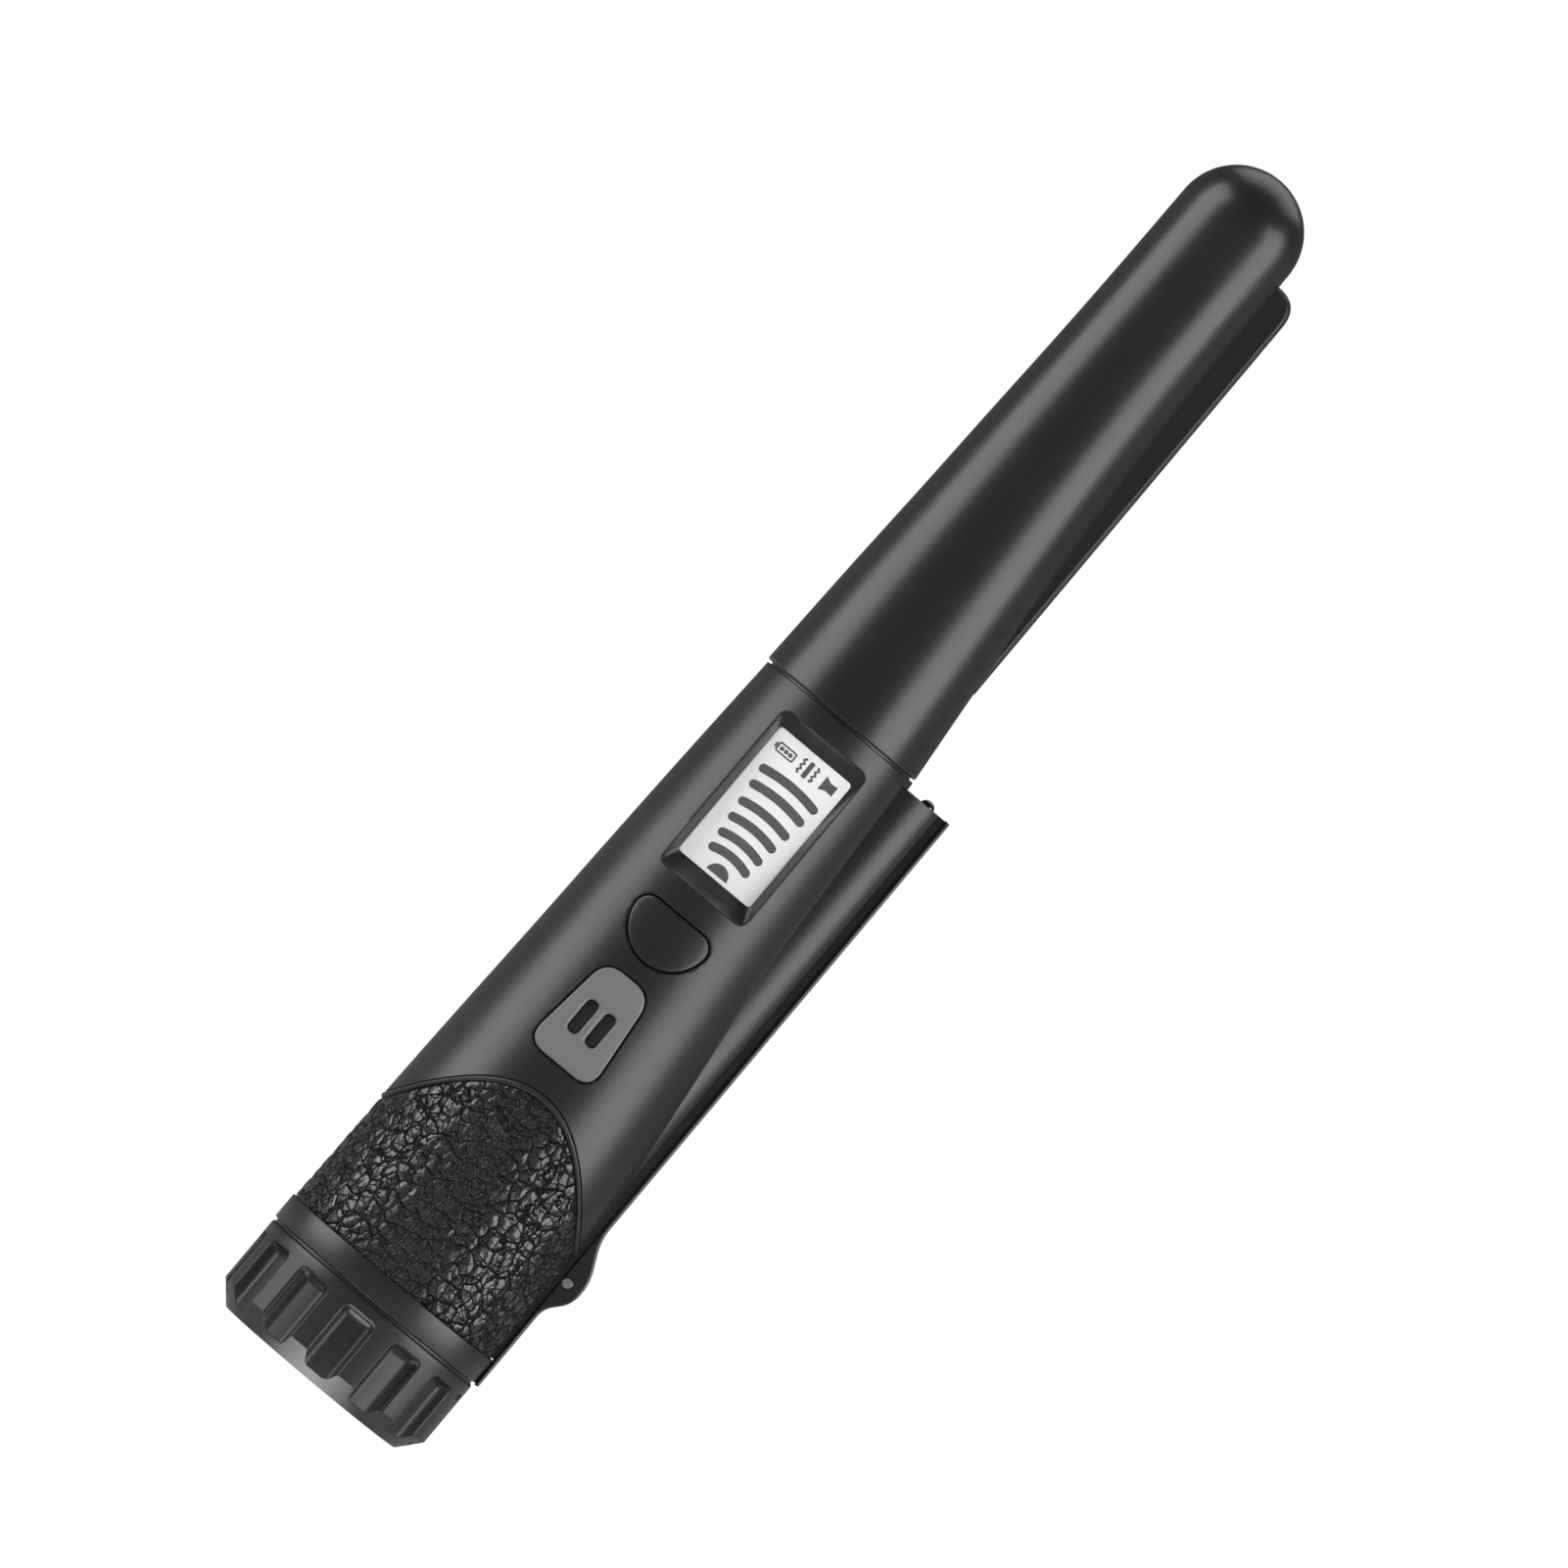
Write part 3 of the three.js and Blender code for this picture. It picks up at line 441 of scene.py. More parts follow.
PLASTIC = (0.017, 0.017, 0.0175)
looks = {
    "black_plastic": speckled("black_plastic", PLASTIC, 0.36),
    "probe_plastic": speckled("probe_plastic", PLASTIC, 0.31),
    "inner_plastic": speckled("inner_plastic", (0.045, 0.045, 0.047), 0.5),
    "grey_button": speckled("grey_button", (0.225, 0.225, 0.227), 0.55, grain=7000),
    "button_inlay": speckled("button_inlay", (0.008, 0.008, 0.008), 0.5),
    "grip_leather": leather("grip_leather", (0.0126, 0.0126, 0.0129)),
    "grip_piping": speckled("grip_piping", (0.022, 0.022, 0.0225), 0.45, grain=5000, strength=0.4),
    "seal_rubber": speckled("seal_rubber", (0.01, 0.01, 0.01), 0.7),
    "wire_jacket": speckled("wire_jacket", (0.02, 0.02, 0.02), 0.55),
    # painted light: the display pane glows with its own pale colour at a third strength, so it reads bright whatever
    # the lamps do
    "display_glass": speckled("display_glass", (0.8, 0.8, 0.79), 0.3, strength=0.03, spread=0.015, coat=0.3, glow=0.33),
    "display_film": speckled("display_film", (0.66, 0.68, 0.64), 0.3, spread=0.03),
    "diffuser": speckled("diffuser", (0.85, 0.85, 0.84), 0.6, spread=0.03),
    "circuit_board": solder_mask("circuit_board", (0.012, 0.1, 0.04)),
    "chip_black": speckled("chip_black", (0.012, 0.012, 0.012), 0.5, grain=4000, strength=0.4),
    "steel": brushed("steel", (0.55, 0.55, 0.56), 0.32),
    "copper": wound("copper", (0.6, 0.26, 0.12)),
    "ferrite": speckled("ferrite", (0.03, 0.03, 0.032), 0.55, grain=3000, strength=0.6),
    "former": speckled("former", (0.7, 0.67, 0.58), 0.5, spread=0.05),
    "led_dome": speckled("led_dome", (0.008, 0.008, 0.008), 0.08, strength=0.02, coat=0.6),
    "battery_case": brushed("battery_case", (0.16, 0.17, 0.18), 0.35),
    "display_marks": speckled("display_marks", (0.13, 0.13, 0.132), 0.4, strength=0.05),
}


def finish(obj, slot, body="handle", *nodes, look=None):
    """Gives a piece the material of its record slot and the body it rides on, and hides the frame nodes it stands in
    for.
    """
    obj.data.materials.clear()
    obj.data.materials.append(looks[look or slot])
    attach(obj, body)
    if nodes:
        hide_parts(*nodes)


# ---- Probe ----

def make_probe():
    top = high("probe_shell").z
    nose_z, _, nose_radius = PROBE[-1]
    bottom = PROBE[0][0] - 0.2
    edge = 0.4
    outside = [(tube_at(PROBE, bottom)[1] - edge, bottom)]
    outside += arc(edge, (tube_at(PROBE, bottom)[1] - edge, bottom + edge), -60, -10, 4)
    outside += wall(PROBE, bottom + edge + 0.3, nose_z, rings=60)
    dome = top - nose_z
    outside += [(nose_radius * math.cos(a), nose_z + dome * math.sin(a)) for a in np.radians(np.linspace(4, 90, 24))]
    shell = turned("probe_casing", outside, count=128, lean=PROBE)
    inside = wall(PROBE, bottom - 1, nose_z, -PROBE_WALL, 20)
    inside += [((nose_radius - PROBE_WALL) * math.cos(a), nose_z + (dome - PROBE_WALL) * math.sin(a))
               for a in np.radians(np.linspace(8, 90, 10))]
    finish(cut(shell, turned("inside", inside, count=64, lean=PROBE)), "black_plastic", "handle", "probe_shell",
           look="probe_plastic")


def make_blade():
    """The scraper blade: a flat fin with a bevelled outer edge, thinning into the probe's flare."""
    lo, hi = low("scraper_blade"), high("scraper_blade")
    half, bevel = hi.y, 0.75
    corner = 4.6
    shape = outline([(0, 151, 0.1), (hi.x, 151, 0.1), (hi.x, hi.z, corner), (0, hi.z, 0.1)], 12)
    shape = spaced(shape, 4.0)
    bounds = lambda p, by: Vector((min(p.x, hi.x - by), p.y))
    inner = grown(shape, -bevel)
    inner = [Vector((max(q.x, 0.0), q.y)) for q in inner]
    rings = [flat_at(inner, -half), flat_at(grown(shape, -0.12), -0.42), flat_at(shape, -0.2),
             flat_at(shape, 0.2), flat_at(grown(shape, -0.12), 0.42), flat_at(inner, half)]
    blade = piece("blade", rings, sharp=20)
    core = turned("core", [(0.01, 140), *wall(PROBE, 140, 234, -0.6, 30)], count=64, lean=PROBE)
    finish(cut(blade, core), "black_plastic", "handle", "scraper_blade")


# ---- Handle ----

def arch_z(x, raised=0.0):
    return GRIP_APEX + raised - GRIP_DROP * (x / GRIP_AT_X) ** 2


def mode_shape(grow=0.0):
    half, corner, top = 7.1 + grow, 2.6 + grow, 94.05 + grow
    bowl = 84.8 - grow + half
    corner_z = top - corner
    start = math.degrees(math.asin((bowl - corner_z) / half))
    points = arc(half, (FACE_X, bowl), 180 + start, 360 - start, 28)
    points += arc(corner, (FACE_X + half - corner, corner_z), 0, 90, 8)[1:]
    points += arc(corner, (FACE_X - half + corner, corner_z), 90, 180, 8)[:-1]
    return spaced([Vector(p) for p in points], 1.2)


def power_shape(grow=0.0):
    bottom, top = 63.9 - grow, 81 + grow
    lower, upper, corner = 6.5 + grow, 4.6 + grow, 3.3 + grow
    points = outline([
        (FACE_X - lower, bottom, corner), (FACE_X + lower, bottom, corner),
        (FACE_X + upper, top, corner), (FACE_X - upper, top, corner),
    ], 10)
    middle = (bottom + top) / 2
    bowed = []
    for p in points:
        reach = 1 - ((p.x - FACE_X) / lower) ** 2
        bowed.append(Vector((p.x, p.y + 0.35 * reach * (1 if p.y > middle else -1))))
    return spaced(bowed, 1.2)


def pocket_rings(shape, depth, edge=0.24):
    """Rings of a cutter that follows the surface: a rounded rim, then straight down by depth."""
    rim = [(edge, 0.3), (edge, 0.0), (edge * 0.45, -edge * 0.3), (edge * 0.12, -edge * 0.62), (0.0, -edge)]
    rings = [flat_at(grown(shape, edge), -26)]
    rings += [on_face(grown(shape, out), lift) for out, lift in rim]
    rings.append(on_face(shape, -depth))
    return rings


def recess_cutter():
    outer = spaced(rectangle(17, 98.8, 130.1, 1.9), 0.8)
    display_lo, display_hi = low("display_window"), high("display_window")
    floor_y = display_lo.y
    width = display_hi.x - display_lo.x + 0.3
    height = display_hi.z - display_lo.z + 0.3
    middle = Vector((FACE_X, (98.8 + 130.1) / 2))
    floor_middle = Vector((FACE_X, (display_lo.z + display_hi.z) / 2))
    scale = Vector((width / 17, height / (130.1 - 98.8)))
    floor = [floor_middle + Vector(((p.x - middle.x) * scale.x, (p.y - middle.y) * scale.y)) for p in outer]
    edge = 0.3
    rings = [flat_at(grown(outer, edge), -26)]
    rings += [on_face(grown(outer, out), lift) for out, lift in
              [(edge, 0.3), (edge, 0.0), (edge * 0.45, -edge * 0.25), (edge * 0.1, -edge * 0.6), (0.0, -edge)]]
    walls = 6
    top_ring = on_face(outer, -edge)
    for k in range(1, walls + 1):
        t = k / walls
        ring = []
        for a, b in zip(top_ring, floor):
            ring.append((a[0] + (b.x - a[0]) * t, a[1] + (floor_y - a[1]) * t ** 0.85, a[2] + (b.y - a[2]) * t))
        rings.append(ring)
    return piece("recess", rings)


def make_lobe():
    """The torch lobe beside the barrel: a shallow arched front and back meeting a narrow rail."""
    front = [Vector((8, LOBE_BACK - LOBE_RADIUS))]
    for k in range(25):
        turn = math.radians(LOBE_TURN * k / 24)
        front.append(Vector((LOBE_X + LOBE_RADIUS * math.sin(turn), LOBE_BACK - LOBE_RADIUS * math.cos(turn))))
    front.append(Vector((RAIL_X, front[-1].y)))
    section = front + [Vector((p.x, -p.y)) for p in reversed(front)]
    edge = 0.3
    rings = [[(p.x, p.y, LOBE_BOTTOM) for p in section]]
    rings += [[(p.x, p.y, z) for p in section] for z in (LOBE_TOP - edge,)]
    for angle in np.radians((30, 60, 90)):
        inner = [p * 1.0 + Vector((-edge if p.x > 10 else 0, -math.copysign(edge, p.y))) * (1 - math.cos(angle)) for p in section]
        rings.append([(p.x, p.y, LOBE_TOP - edge + edge * math.sin(angle)) for p in inner])
    return piece("lobe", rings, sharp=25)


def make_handle():
    """The barrel with its torch lobe, display recess, button holes, neck and the seat of the grip."""
    top = HANDLE[-1][0]
    edge = 0.25
    outside = [(0, 20.9), *wall(HANDLE, 20.9, top - edge, rings=96)]
    outside += arc(edge, (tube_at(HANDLE, top)[1] - edge, top - edge), 20, 90, 4)
    barrel = turned("barrel", [*outside, (0, top)], count=192, lean=HANDLE)

    cut(barrel, make_lobe(), how="UNION")

    # the seat that the grip and its trim lie in, open at the arch
    seat = grip_solid("seat", outer=1.2, inner=-GRIP_THICKNESS - 0.1, top=0.1, lane=2.3, bottom=15)
    cut(barrel, seat)

    neck_radius, neck_bottom, bore = 17.6, low("handle_barrel").z, 16.3
    neck = turned("neck", [(0, neck_bottom), (neck_radius - 0.5, neck_bottom), (neck_radius, neck_bottom + 0.5),
                           (neck_radius, 21.5), (0, 21.5)], count=128)
    spigot = turned("spigot", [(0, 130), (14.3, 130), (14.3, 134.4), (12, 134.4), (12, 145.6), (11.6, 146), (0, 146)],
                    x=-2.4, count=96)
    cut(barrel, neck, spigot, how="UNION")

    bay = turned("bay", [(0, 0), (bore, 0), (bore, 60.5), (0, 60.5)], count=96)
    upper = turned("upper", [(0, 58.5), *wall(HANDLE, 58.5, 128, -HANDLE_WALL, 20), (9, 131.5), (0, 131.5)],
                   count=96, lean=HANDLE)
    bore_top = turned("bore_top", [(0, 129), (9, 129), (9, 150), (0, 150)], x=-2.5, count=64)
    cut(bay, upper, bore_top, how="UNION")
    cut(barrel, bay)

    well = piece("well", [flat_at(spaced(rectangle(20, 97.3, 130.9, 1.6), 1.2), -10.4),
                          on_face(spaced(rectangle(20, 97.3, 130.9, 1.6), 1.2), -0.9)])
    cut(barrel, well, how="UNION")
    window = spaced(rectangle(14.8, 102, 127.5, 0.8), 1.5)
    cut(barrel, recess_cutter(), piece("window", [flat_at(window, -12.6), flat_at(window, -6)]))
    cut(barrel, piece("mode_hole", pocket_rings(mode_shape(0.22), 6)), piece("power_hole", pocket_rings(power_shape(0.22), 6)))

    led = low("torch_led").lerp(high("torch_led"), 0.5)
    cut(barrel,
        turned("led_hole", [(0, 120), (1.45, 120), (1.45, 132.3), (1.75, 132.65), (1.75, 140), (0, 140)], x=led.x, count=40),
        block("channel", (17.3, 22), (-1.3, 1.3), (64, 112)),
        block("pocket", (14.9, 22), (-1.75, 1.75), (111, 127.6)),
        along_axis("scoop", "y", [(2.9, -1.7), (2.9, 1.7)], (21.8, 37.7)))
    finish(barrel, "black_plastic", "handle", "handle_barrel")


def block(name, x, y, z):
    corners = [(x[0], y[0]), (x[1], y[0]), (x[1], y[1]), (x[0], y[1])]
    return piece(name, [[(a, b, z[0]) for a, b in corners], [(a, b, z[1]) for a, b in corners]])


def grip_columns(lane, step):
    """Angles round the handle, from one side of the spine's lane to the other, in radians from +X."""
    gap = math.asin(lane / 20.4)
    count = round((2 * math.pi - 2 * gap) * 20.4 / step)
    return [gap + (2 * math.pi - 2 * gap) * i / count for i in range(count + 1)]


def grip_top(angle, raised):
    """Height of the arched edge at an angle: where the leaning surface meets the arch."""
    z = GRIP_APEX
    for _ in range(12):
        centre, radius = tube_at(HANDLE, z)
        z = arch_z(centre + radius * math.cos(angle), raised)
    return z


def grip_solid(name, outer, inner, top, lane, bottom, step=0.8, rows=40):
    """A closed sleeve under the arch, as loops of outside rows and inside rows, one loop a column."""
    rings = []
    for angle in grip_columns(lane, step):
        edge = grip_top(angle, top)
        heights = [bottom + (edge - bottom) * k / rows for k in range(rows + 1)]
        loop = [grip_point(angle, z, outer) for z in heights]
        loop += [grip_point(angle, z, inner) for z in reversed(heights)]
        rings.append(loop)
    return piece(name, rings)


def grip_point(angle, z, lift):
    centre, radius = tube_at(HANDLE, z)
    return (centre + (radius + lift) * math.cos(angle), (radius + lift) * math.sin(angle), z)


def pebble(point):
    """Height of the leather's swelling pebbles at a point in millimetres."""
    warp = noise.noise_vector(point * 0.8) * 0.5
    near, second = noise.voronoi((point + warp) * 0.42)[0][:2]
    groove = 1 - smooth((second - near) / 0.5)
    return 0.04 * noise.noise(point * 0.5) - 0.11 * groove


def make_grip():
    """The leather-grained sleeve with its pebbles modelled, and the bead along the arched edge."""
    bottom = high("end_ring").z - 0.1
    step = 0.3
    rows = 124
    rings = []
    for angle in grip_columns(2.6, step):
        edge = grip_top(angle, -TRIM_WIDTH)
        loop = []
        for k in range(rows + 1):
            z = bottom + (edge - bottom) * k / rows
            rise = pebble(Vector(grip_point(angle, z, 0)))
            rim = smooth(min(z - bottom, edge - z) / 0.6)
            loop.append(grip_point(angle, z, -0.1 + rise * rim - 0.25 * (1 - rim)))
        loop += [grip_point(angle, z, -GRIP_THICKNESS) for z in (edge, bottom)]
        rings.append(loop)
    sleeve = piece("grip", rings, sharp=80)
    finish(sleeve, "grip_leather", "handle", "grip_wrap")

    rings = []
    for angle in grip_columns(2.6, 0.5):
        loop = []
        for k in range(14):
            turn = 2 * math.pi * k / 14
            z = grip_top(angle, -TRIM_WIDTH / 2) + 0.55 * math.sin(turn) * 1.05
            loop.append(grip_point(angle, z, -0.45 + 0.62 * math.cos(turn)))
        rings.append(loop)
    finish(piece("grip_bead", rings, sharp=60), "grip_piping", "handle", "grip_trim")


def make_ring():
    lo, hi = low("end_ring"), high("end_ring")
    radius, edge, bore = hi.x, 0.2, 17.9
    profile = [(bore, lo.z), *arc(edge, (radius - edge, lo.z + edge), -90, 0, 4),
               *arc(edge, (radius - edge, hi.z - edge), 0, 90, 4), (bore, hi.z)]
    finish(turned("ring", profile, count=192, closed=True), "black_plastic", "handle", "end_ring")


# ---- Spine strip, lug and torch ----

def bezier(a, b, c, d, steps):
    points = []
    for k in range(steps + 1):
        t = k / steps
        points.append(Vector(a) * (1 - t) ** 3 + Vector(b) * 3 * t * (1 - t) ** 2
                      + Vector(c) * 3 * t**2 * (1 - t) + Vector(d) * t**3)
    return points


def make_spine():
    lo, hi = low("spine_strip"), high("spine_strip")
    inner, outer, peak = high("end_ring").x - 0.02, 21.5, hi.x
    half, bevel = hi.y, 0.36
    inset = RAIL_X - 0.05
    shape = [Vector((inner, lo.z)), Vector((outer - 0.2, lo.z)), Vector((outer, lo.z + 0.2)), Vector((outer, 24)), Vector((outer, 30.7))]
    shape += bezier((outer, 30.7), (outer, 33.9), (peak, 33.6), (peak, 38), 14)[1:]
    shape += bezier((peak, 38), (peak, 42.4), (outer, 43.8), (outer, 48.8), 16)[1:]
    shape += [Vector((outer, z)) for z in (60, 80, 100, 120)] + [Vector((outer, hi.z - 0.2)), Vector((outer - 0.2, hi.z)), Vector((inner, hi.z))]
    shape = [Vector((inset, p.y)) if p.x < inner + 0.05 and p.y > 100 else p for p in shape]
    shape.insert(0, Vector((inset, 20.4)))
    shape.insert(1, Vector((inner, 20.3)))
    shape = spaced(shape, 6)
    slim, soft = grown(shape, -bevel), grown(shape, -0.08)
    rings = [flat_at(slim, -half), flat_at(soft, -half + 0.19), flat_at(shape, -half + 0.4),
             flat_at(shape, half - 0.4), flat_at(soft, half - 0.19), flat_at(slim, half)]
    strip = piece("strip", rings, sharp=20)
    cut(strip, block("slot", (inner - 1, 30), (-1.3, 1.3), (37.7 - 5.2, 37.7 + 5.2)),
        along_axis("pin_hole", "y", [(0.97, -5), (0.97, 5)], (21.8, 37.7)))
    finish(strip, "black_plastic", "handle", "spine_strip")
    pin = along_axis("pin", "y", [(0.01, -half - 0.0), (0.8, -half + 0.02), (0.95, -half + 0.15), (0.95, half - 0.15),
                                  (0.8, half - 0.02), (0.01, half)], (21.8, 37.7))
    finish(pin, "steel", "handle", "lanyard_pin")


def make_torch():
    lo, hi = low("torch_led"), high("torch_led")
    x = (lo.x + hi.x) / 2
    profile = [(0.01, lo.z), (1.55, lo.z), (1.55, lo.z + 1.2), (1.35, lo.z + 1.2), (1.35, hi.z - 1.35)]
    profile += [(1.35 * math.cos(a), hi.z - 1.35 + 1.35 * math.sin(a)) for a in np.radians(np.linspace(8, 90, 12))]
    finish(turned("torch_dome", profile, x=x, count=48), "led_dome", "handle", "torch_led")


# ---- Display ----

def extruded_marks(name, shapes, y_back, y_front):
    """Thin raised marks from closed outlines in (x, z)."""
    bm = bmesh.new()
    for shape in shapes:
        back = [bm.verts.new(Vector((p.x, y_back, p.y)) * MM) for p in shape]
        front = [bm.verts.new(Vector((p.x, y_front, p.y)) * MM) for p in shape]
        bm.faces.new(front)
        bm.faces.new(list(reversed(back)))
        for i in range(len(shape)):
            j = (i + 1) % len(shape)
            bm.faces.new((back[i], back[j], front[j], front[i]))
    bmesh.ops.recalc_face_normals(bm, faces=bm.faces)
    mesh = bpy.data.meshes.new(name)
    bm.to_mesh(mesh)
    bm.free()
    obj = bpy.data.objects.new(name, mesh)
    bpy.context.collection.objects.link(obj)
    return obj


def band(centre, radius, half_width, thickness):
    """One signal bar: a curved stroke with round ends."""
    reach = math.asin(half_width / radius) - thickness / 2 / radius
    inside, outside = radius - thickness / 2, radius + thickness / 2

    def at(r, angle):
        return Vector((centre.x + r * math.sin(angle), centre.y + r * math.cos(angle)))

    points = [at(outside, -reach + 2 * reach * k / 20) for k in range(21)]
    for side, angle in ((1, reach), (-1, -reach)):
        end = at(radius, angle)
        cap = []
        for k in range(1, 8):
            turn = math.pi * k / 8
            across = Vector((math.sin(angle), math.cos(angle))) * math.cos(turn)
            along = Vector((math.cos(angle), -math.sin(angle))) * math.sin(turn) * side
            cap.append(end + (across + along) * thickness / 2)
        if side == 1:
            points += cap + [at(inside, reach - 2 * reach * k / 20) for k in range(21)]
        else:
            points += list(reversed(cap))
    return points


def disc(x, z, radius, count=16):
    return [Vector((x + radius * math.cos(2 * math.pi * k / count), z + radius * math.sin(2 * math.pi * k / count)))
            for k in range(count)]


def strokes(points, width):
    """An open zigzag as one closed outline of even width."""
    left, right = [], []
    for i, p in enumerate(points):
        before, after = points[max(i - 1, 0)], points[min(i + 1, len(points) - 1)]
        along = (after - before).normalized()
        side = Vector((-along.y, along.x)) * width / 2
        left.append(p + side)
        right.append(p - side)
    return left + list(reversed(right))


def display_shapes():
    middle = FACE_X
    shapes = []
    centre = Vector((middle, 96.45))
    bars = [(24.6, 5.9), (21.7, 5.5), (18.5, 5.1), (15.6, 4.75), (12.7, 4.4), (10.0, 4.05)]
    shapes += [band(centre, radius, half, 1.5) for radius, half in bars]
    shapes.append([Vector((middle + 2 * math.cos(a), 102.65 + 1.9 * math.sin(a))) for a in np.radians(np.linspace(0, 180, 20))])

    row = 124.8
    # battery: four outline bars, a terminal and three cells
    x = middle - 4.05
    frame_outer = outline([(x - 1.75, row - 0.88, 0.3), (x + 1.75, row - 0.88, 0.3), (x + 1.75, row + 0.88, 0.3), (x - 1.75, row + 0.88, 0.3)], 4)
    frame_inner = grown(frame_outer, -0.28)
    half = len(frame_outer) // 2
    for span in (range(0, half + 1), range(half, len(frame_outer) + 1)):
        ring = [frame_outer[i % len(frame_outer)] for i in span]
        shapes.append(ring + [frame_inner[i % len(frame_outer)] for i in reversed(span)])
    shapes.append(outline([(x - 2.2, row - 0.45, 0.2), (x - 1.8, row - 0.45, 0.05), (x - 1.8, row + 0.45, 0.05), (x - 2.2, row + 0.45, 0.2)], 3))
    shapes += [disc(x + step, row, 0.38) for step in (-0.85, 0.0, 0.85)]

    # vibration: a bar between two zigzags
    x = middle + 0.45
    shapes.append(outline([(x - 0.42, row - 1.5, 0.3), (x + 0.42, row - 1.5, 0.3), (x + 0.42, row + 1.5, 0.3), (x - 0.42, row + 1.5, 0.3)], 4))
    for side in (-1, 1):
        zigzag = [Vector((x + side * (1.3 + (0.22 if k % 2 else -0.22)), row - 1.35 + 2.7 * k / 6)) for k in range(7)]
        shapes.append(strokes(zigzag, 0.48))

    # loudspeaker: a magnet block and a horn opening towards the left
    x = middle + 4.7
    shapes.append([Vector((x + a, row + b)) for a, b in
                   ((1.25, -0.85), (1.25, 0.85), (-0.1, 0.75), (-1.25, 1.3), (-1.25, -1.3), (-0.1, -0.75))])
    return shapes


def make_display():
    lo, hi = low("display_window"), high("display_window")
    shape = spaced(rectangle(hi.x - lo.x + 0.16, lo.z - 0.08, hi.z + 0.08, 0.8), 2)
    inset = 0.25
    pane = piece("display_pane", [flat_at(shape, hi.y), flat_at(shape, lo.y + 0.12), flat_at(grown(shape, -0.05), lo.y + 0.04),
                                  flat_at(grown(shape, -inset), lo.y)], sharp=50)
    finish(pane, "display_glass", "handle", "display_window")
    marks = extruded_marks("display_marks", display_shapes(), lo.y + 0.05, lo.y - 0.03)
    finish(marks, "display_film", "handle", look="display_marks")


# ---- Buttons ----

def crowned(name, shape, top_y, base_y, edge, crown):
    """A button cap: straight sides, a rounded rim and a top that follows top_y with a slight crown."""
    rings = [flat_at(shape, base_y), [(p.x, top_y(p) + edge + 1.5, p.y) for p in shape]]
    for angle in np.radians((0, 22.5, 45, 67.5, 90)):
        rim = grown(shape, -edge * (1 - math.cos(angle)))
        rings.append([(p.x, top_y(p) + edge * (1 - math.sin(angle)), p.y) for p in rim])
    inner = grown(shape, -edge)
    for factor in (0.9, 0.75, 0.55, 0.35, 0.15):
        ring = shrink(inner, factor)
        rings.append([(p.x, top_y(p) - crown * (1 - factor**2), p.y) for p in ring])
    return piece(name, rings, sharp=40)


def stem(name, flange_y):
    lo, hi = low(name), high(name)
    return along_axis("stem", "y", [(2, flange_y + 0.5), (2, hi.y - 0.1), (1.9, hi.y)], (FACE_X, (lo.z + hi.z) / 2))


def make_buttons():
    flange = -11.0
    cap = crowned("mode_cap", mode_shape(), lambda p: face_y(p.x, p.y) + 0.04, flange, 0.3, 0.0)
    skirt = piece("skirt", [flat_at(mode_shape(1.0), -12), flat_at(mode_shape(1.0), -11)])
    cut(cap, skirt, stem("mode_button", -12), how="UNION")
    finish(cap, "black_plastic", "mode_button", "mode_button")

    top = low("power_button").y
    cap = crowned("power_cap", power_shape(), lambda p: top + 0.15, -12.8, 0.3, 0.1)
    skirt = piece("skirt", [flat_at(power_shape(1.0), -13.8), flat_at(power_shape(1.0), -12.8)])
    cut(cap, skirt, stem("power_button", -13.8), how="UNION")
    for side, node in ((-1, "power_button_inlay_left"), (1, "power_button_inlay_right")):
        lo, hi = low(node), high(node)
        x = FACE_X + side * 1.8
        slot = spaced(rectangle(hi.x - lo.x, lo.z, hi.z, 1.05, x), 1.0)
        rim = [flat_at(grown(slot, 0.42), top - 1), flat_at(grown(slot, 0.42), top + 0.12), flat_at(grown(slot, 0.2), top + 0.28),
               flat_at(grown(slot, 0.03), top + 0.6), flat_at(grown(slot, 0.03), top + 1.6)]
        cut(cap, piece("slot", rim))
        inlay = piece(node.replace("button_inlay", "inlay"), [
            flat_at(slot, hi.y), flat_at(slot, lo.y + 0.25), flat_at(grown(slot, -0.12), lo.y + 0.06),
            flat_at(grown(slot, -0.35), lo.y)], sharp=50)
        finish(inlay, "button_inlay", "power_button", node)
    finish(cap, "grey_button", "power_button", "power_button")


# ---- Cap ----

def flute_profile(reach):
    """Depth of a flute at a distance from its flat floor: a concave fillet, a steep wall, a round rim."""
    fillet, turn = 1.5, math.radians(70)
    wall_reach, wall_depth = fillet * math.sin(turn), FLUTE_DEPTH - fillet * (1 - math.cos(turn))
    if reach < wall_reach:
        return FLUTE_DEPTH - fillet + math.sqrt(fillet**2 - reach**2)
    rim = (wall_reach + 0.22, 0.18)
    if reach < rim[0]:
        return wall_depth + (rim[1] - wall_depth) * (reach - wall_reach) / (rim[0] - wall_reach)
    return rim[1] * (1 - smooth((reach - rim[0]) / 0.3))


def flute_depth(across, z):
    """How far a finger flute sinks the cap, across being the distance from its centre line."""
    side = max(0.0, abs(across) - FLUTE_FLOOR / 2)
    end = max(0.0, z - FLUTE_TOP + 1.7)
    return flute_profile((side**3 + end**3) ** (1 / 3))


def cap_profile():
    radius, top = high("battery_cap").x, high("battery_cap").z
    lip, foot = 0.6, 0.3
    chamfer = [(radius - CAP_CHAMFER, 0.0)]
    steps = 24
    chamfer += [(radius - CAP_CHAMFER * (1 - k / steps), CAP_CHAMFER_TOP * k / steps) for k in range(1, steps + 1)]
    side = [(radius, z) for z in np.linspace(CAP_CHAMFER_TOP + 0.3, FLUTE_TOP - 1.8, 10)]
    side += [(radius, z) for z in np.linspace(FLUTE_TOP - 1.7, FLUTE_TOP + 0.5, 25)]
    return [*chamfer, *side, (radius, 14.3), *arc(lip, (radius - lip, top - lip), 0, 90, 6)]


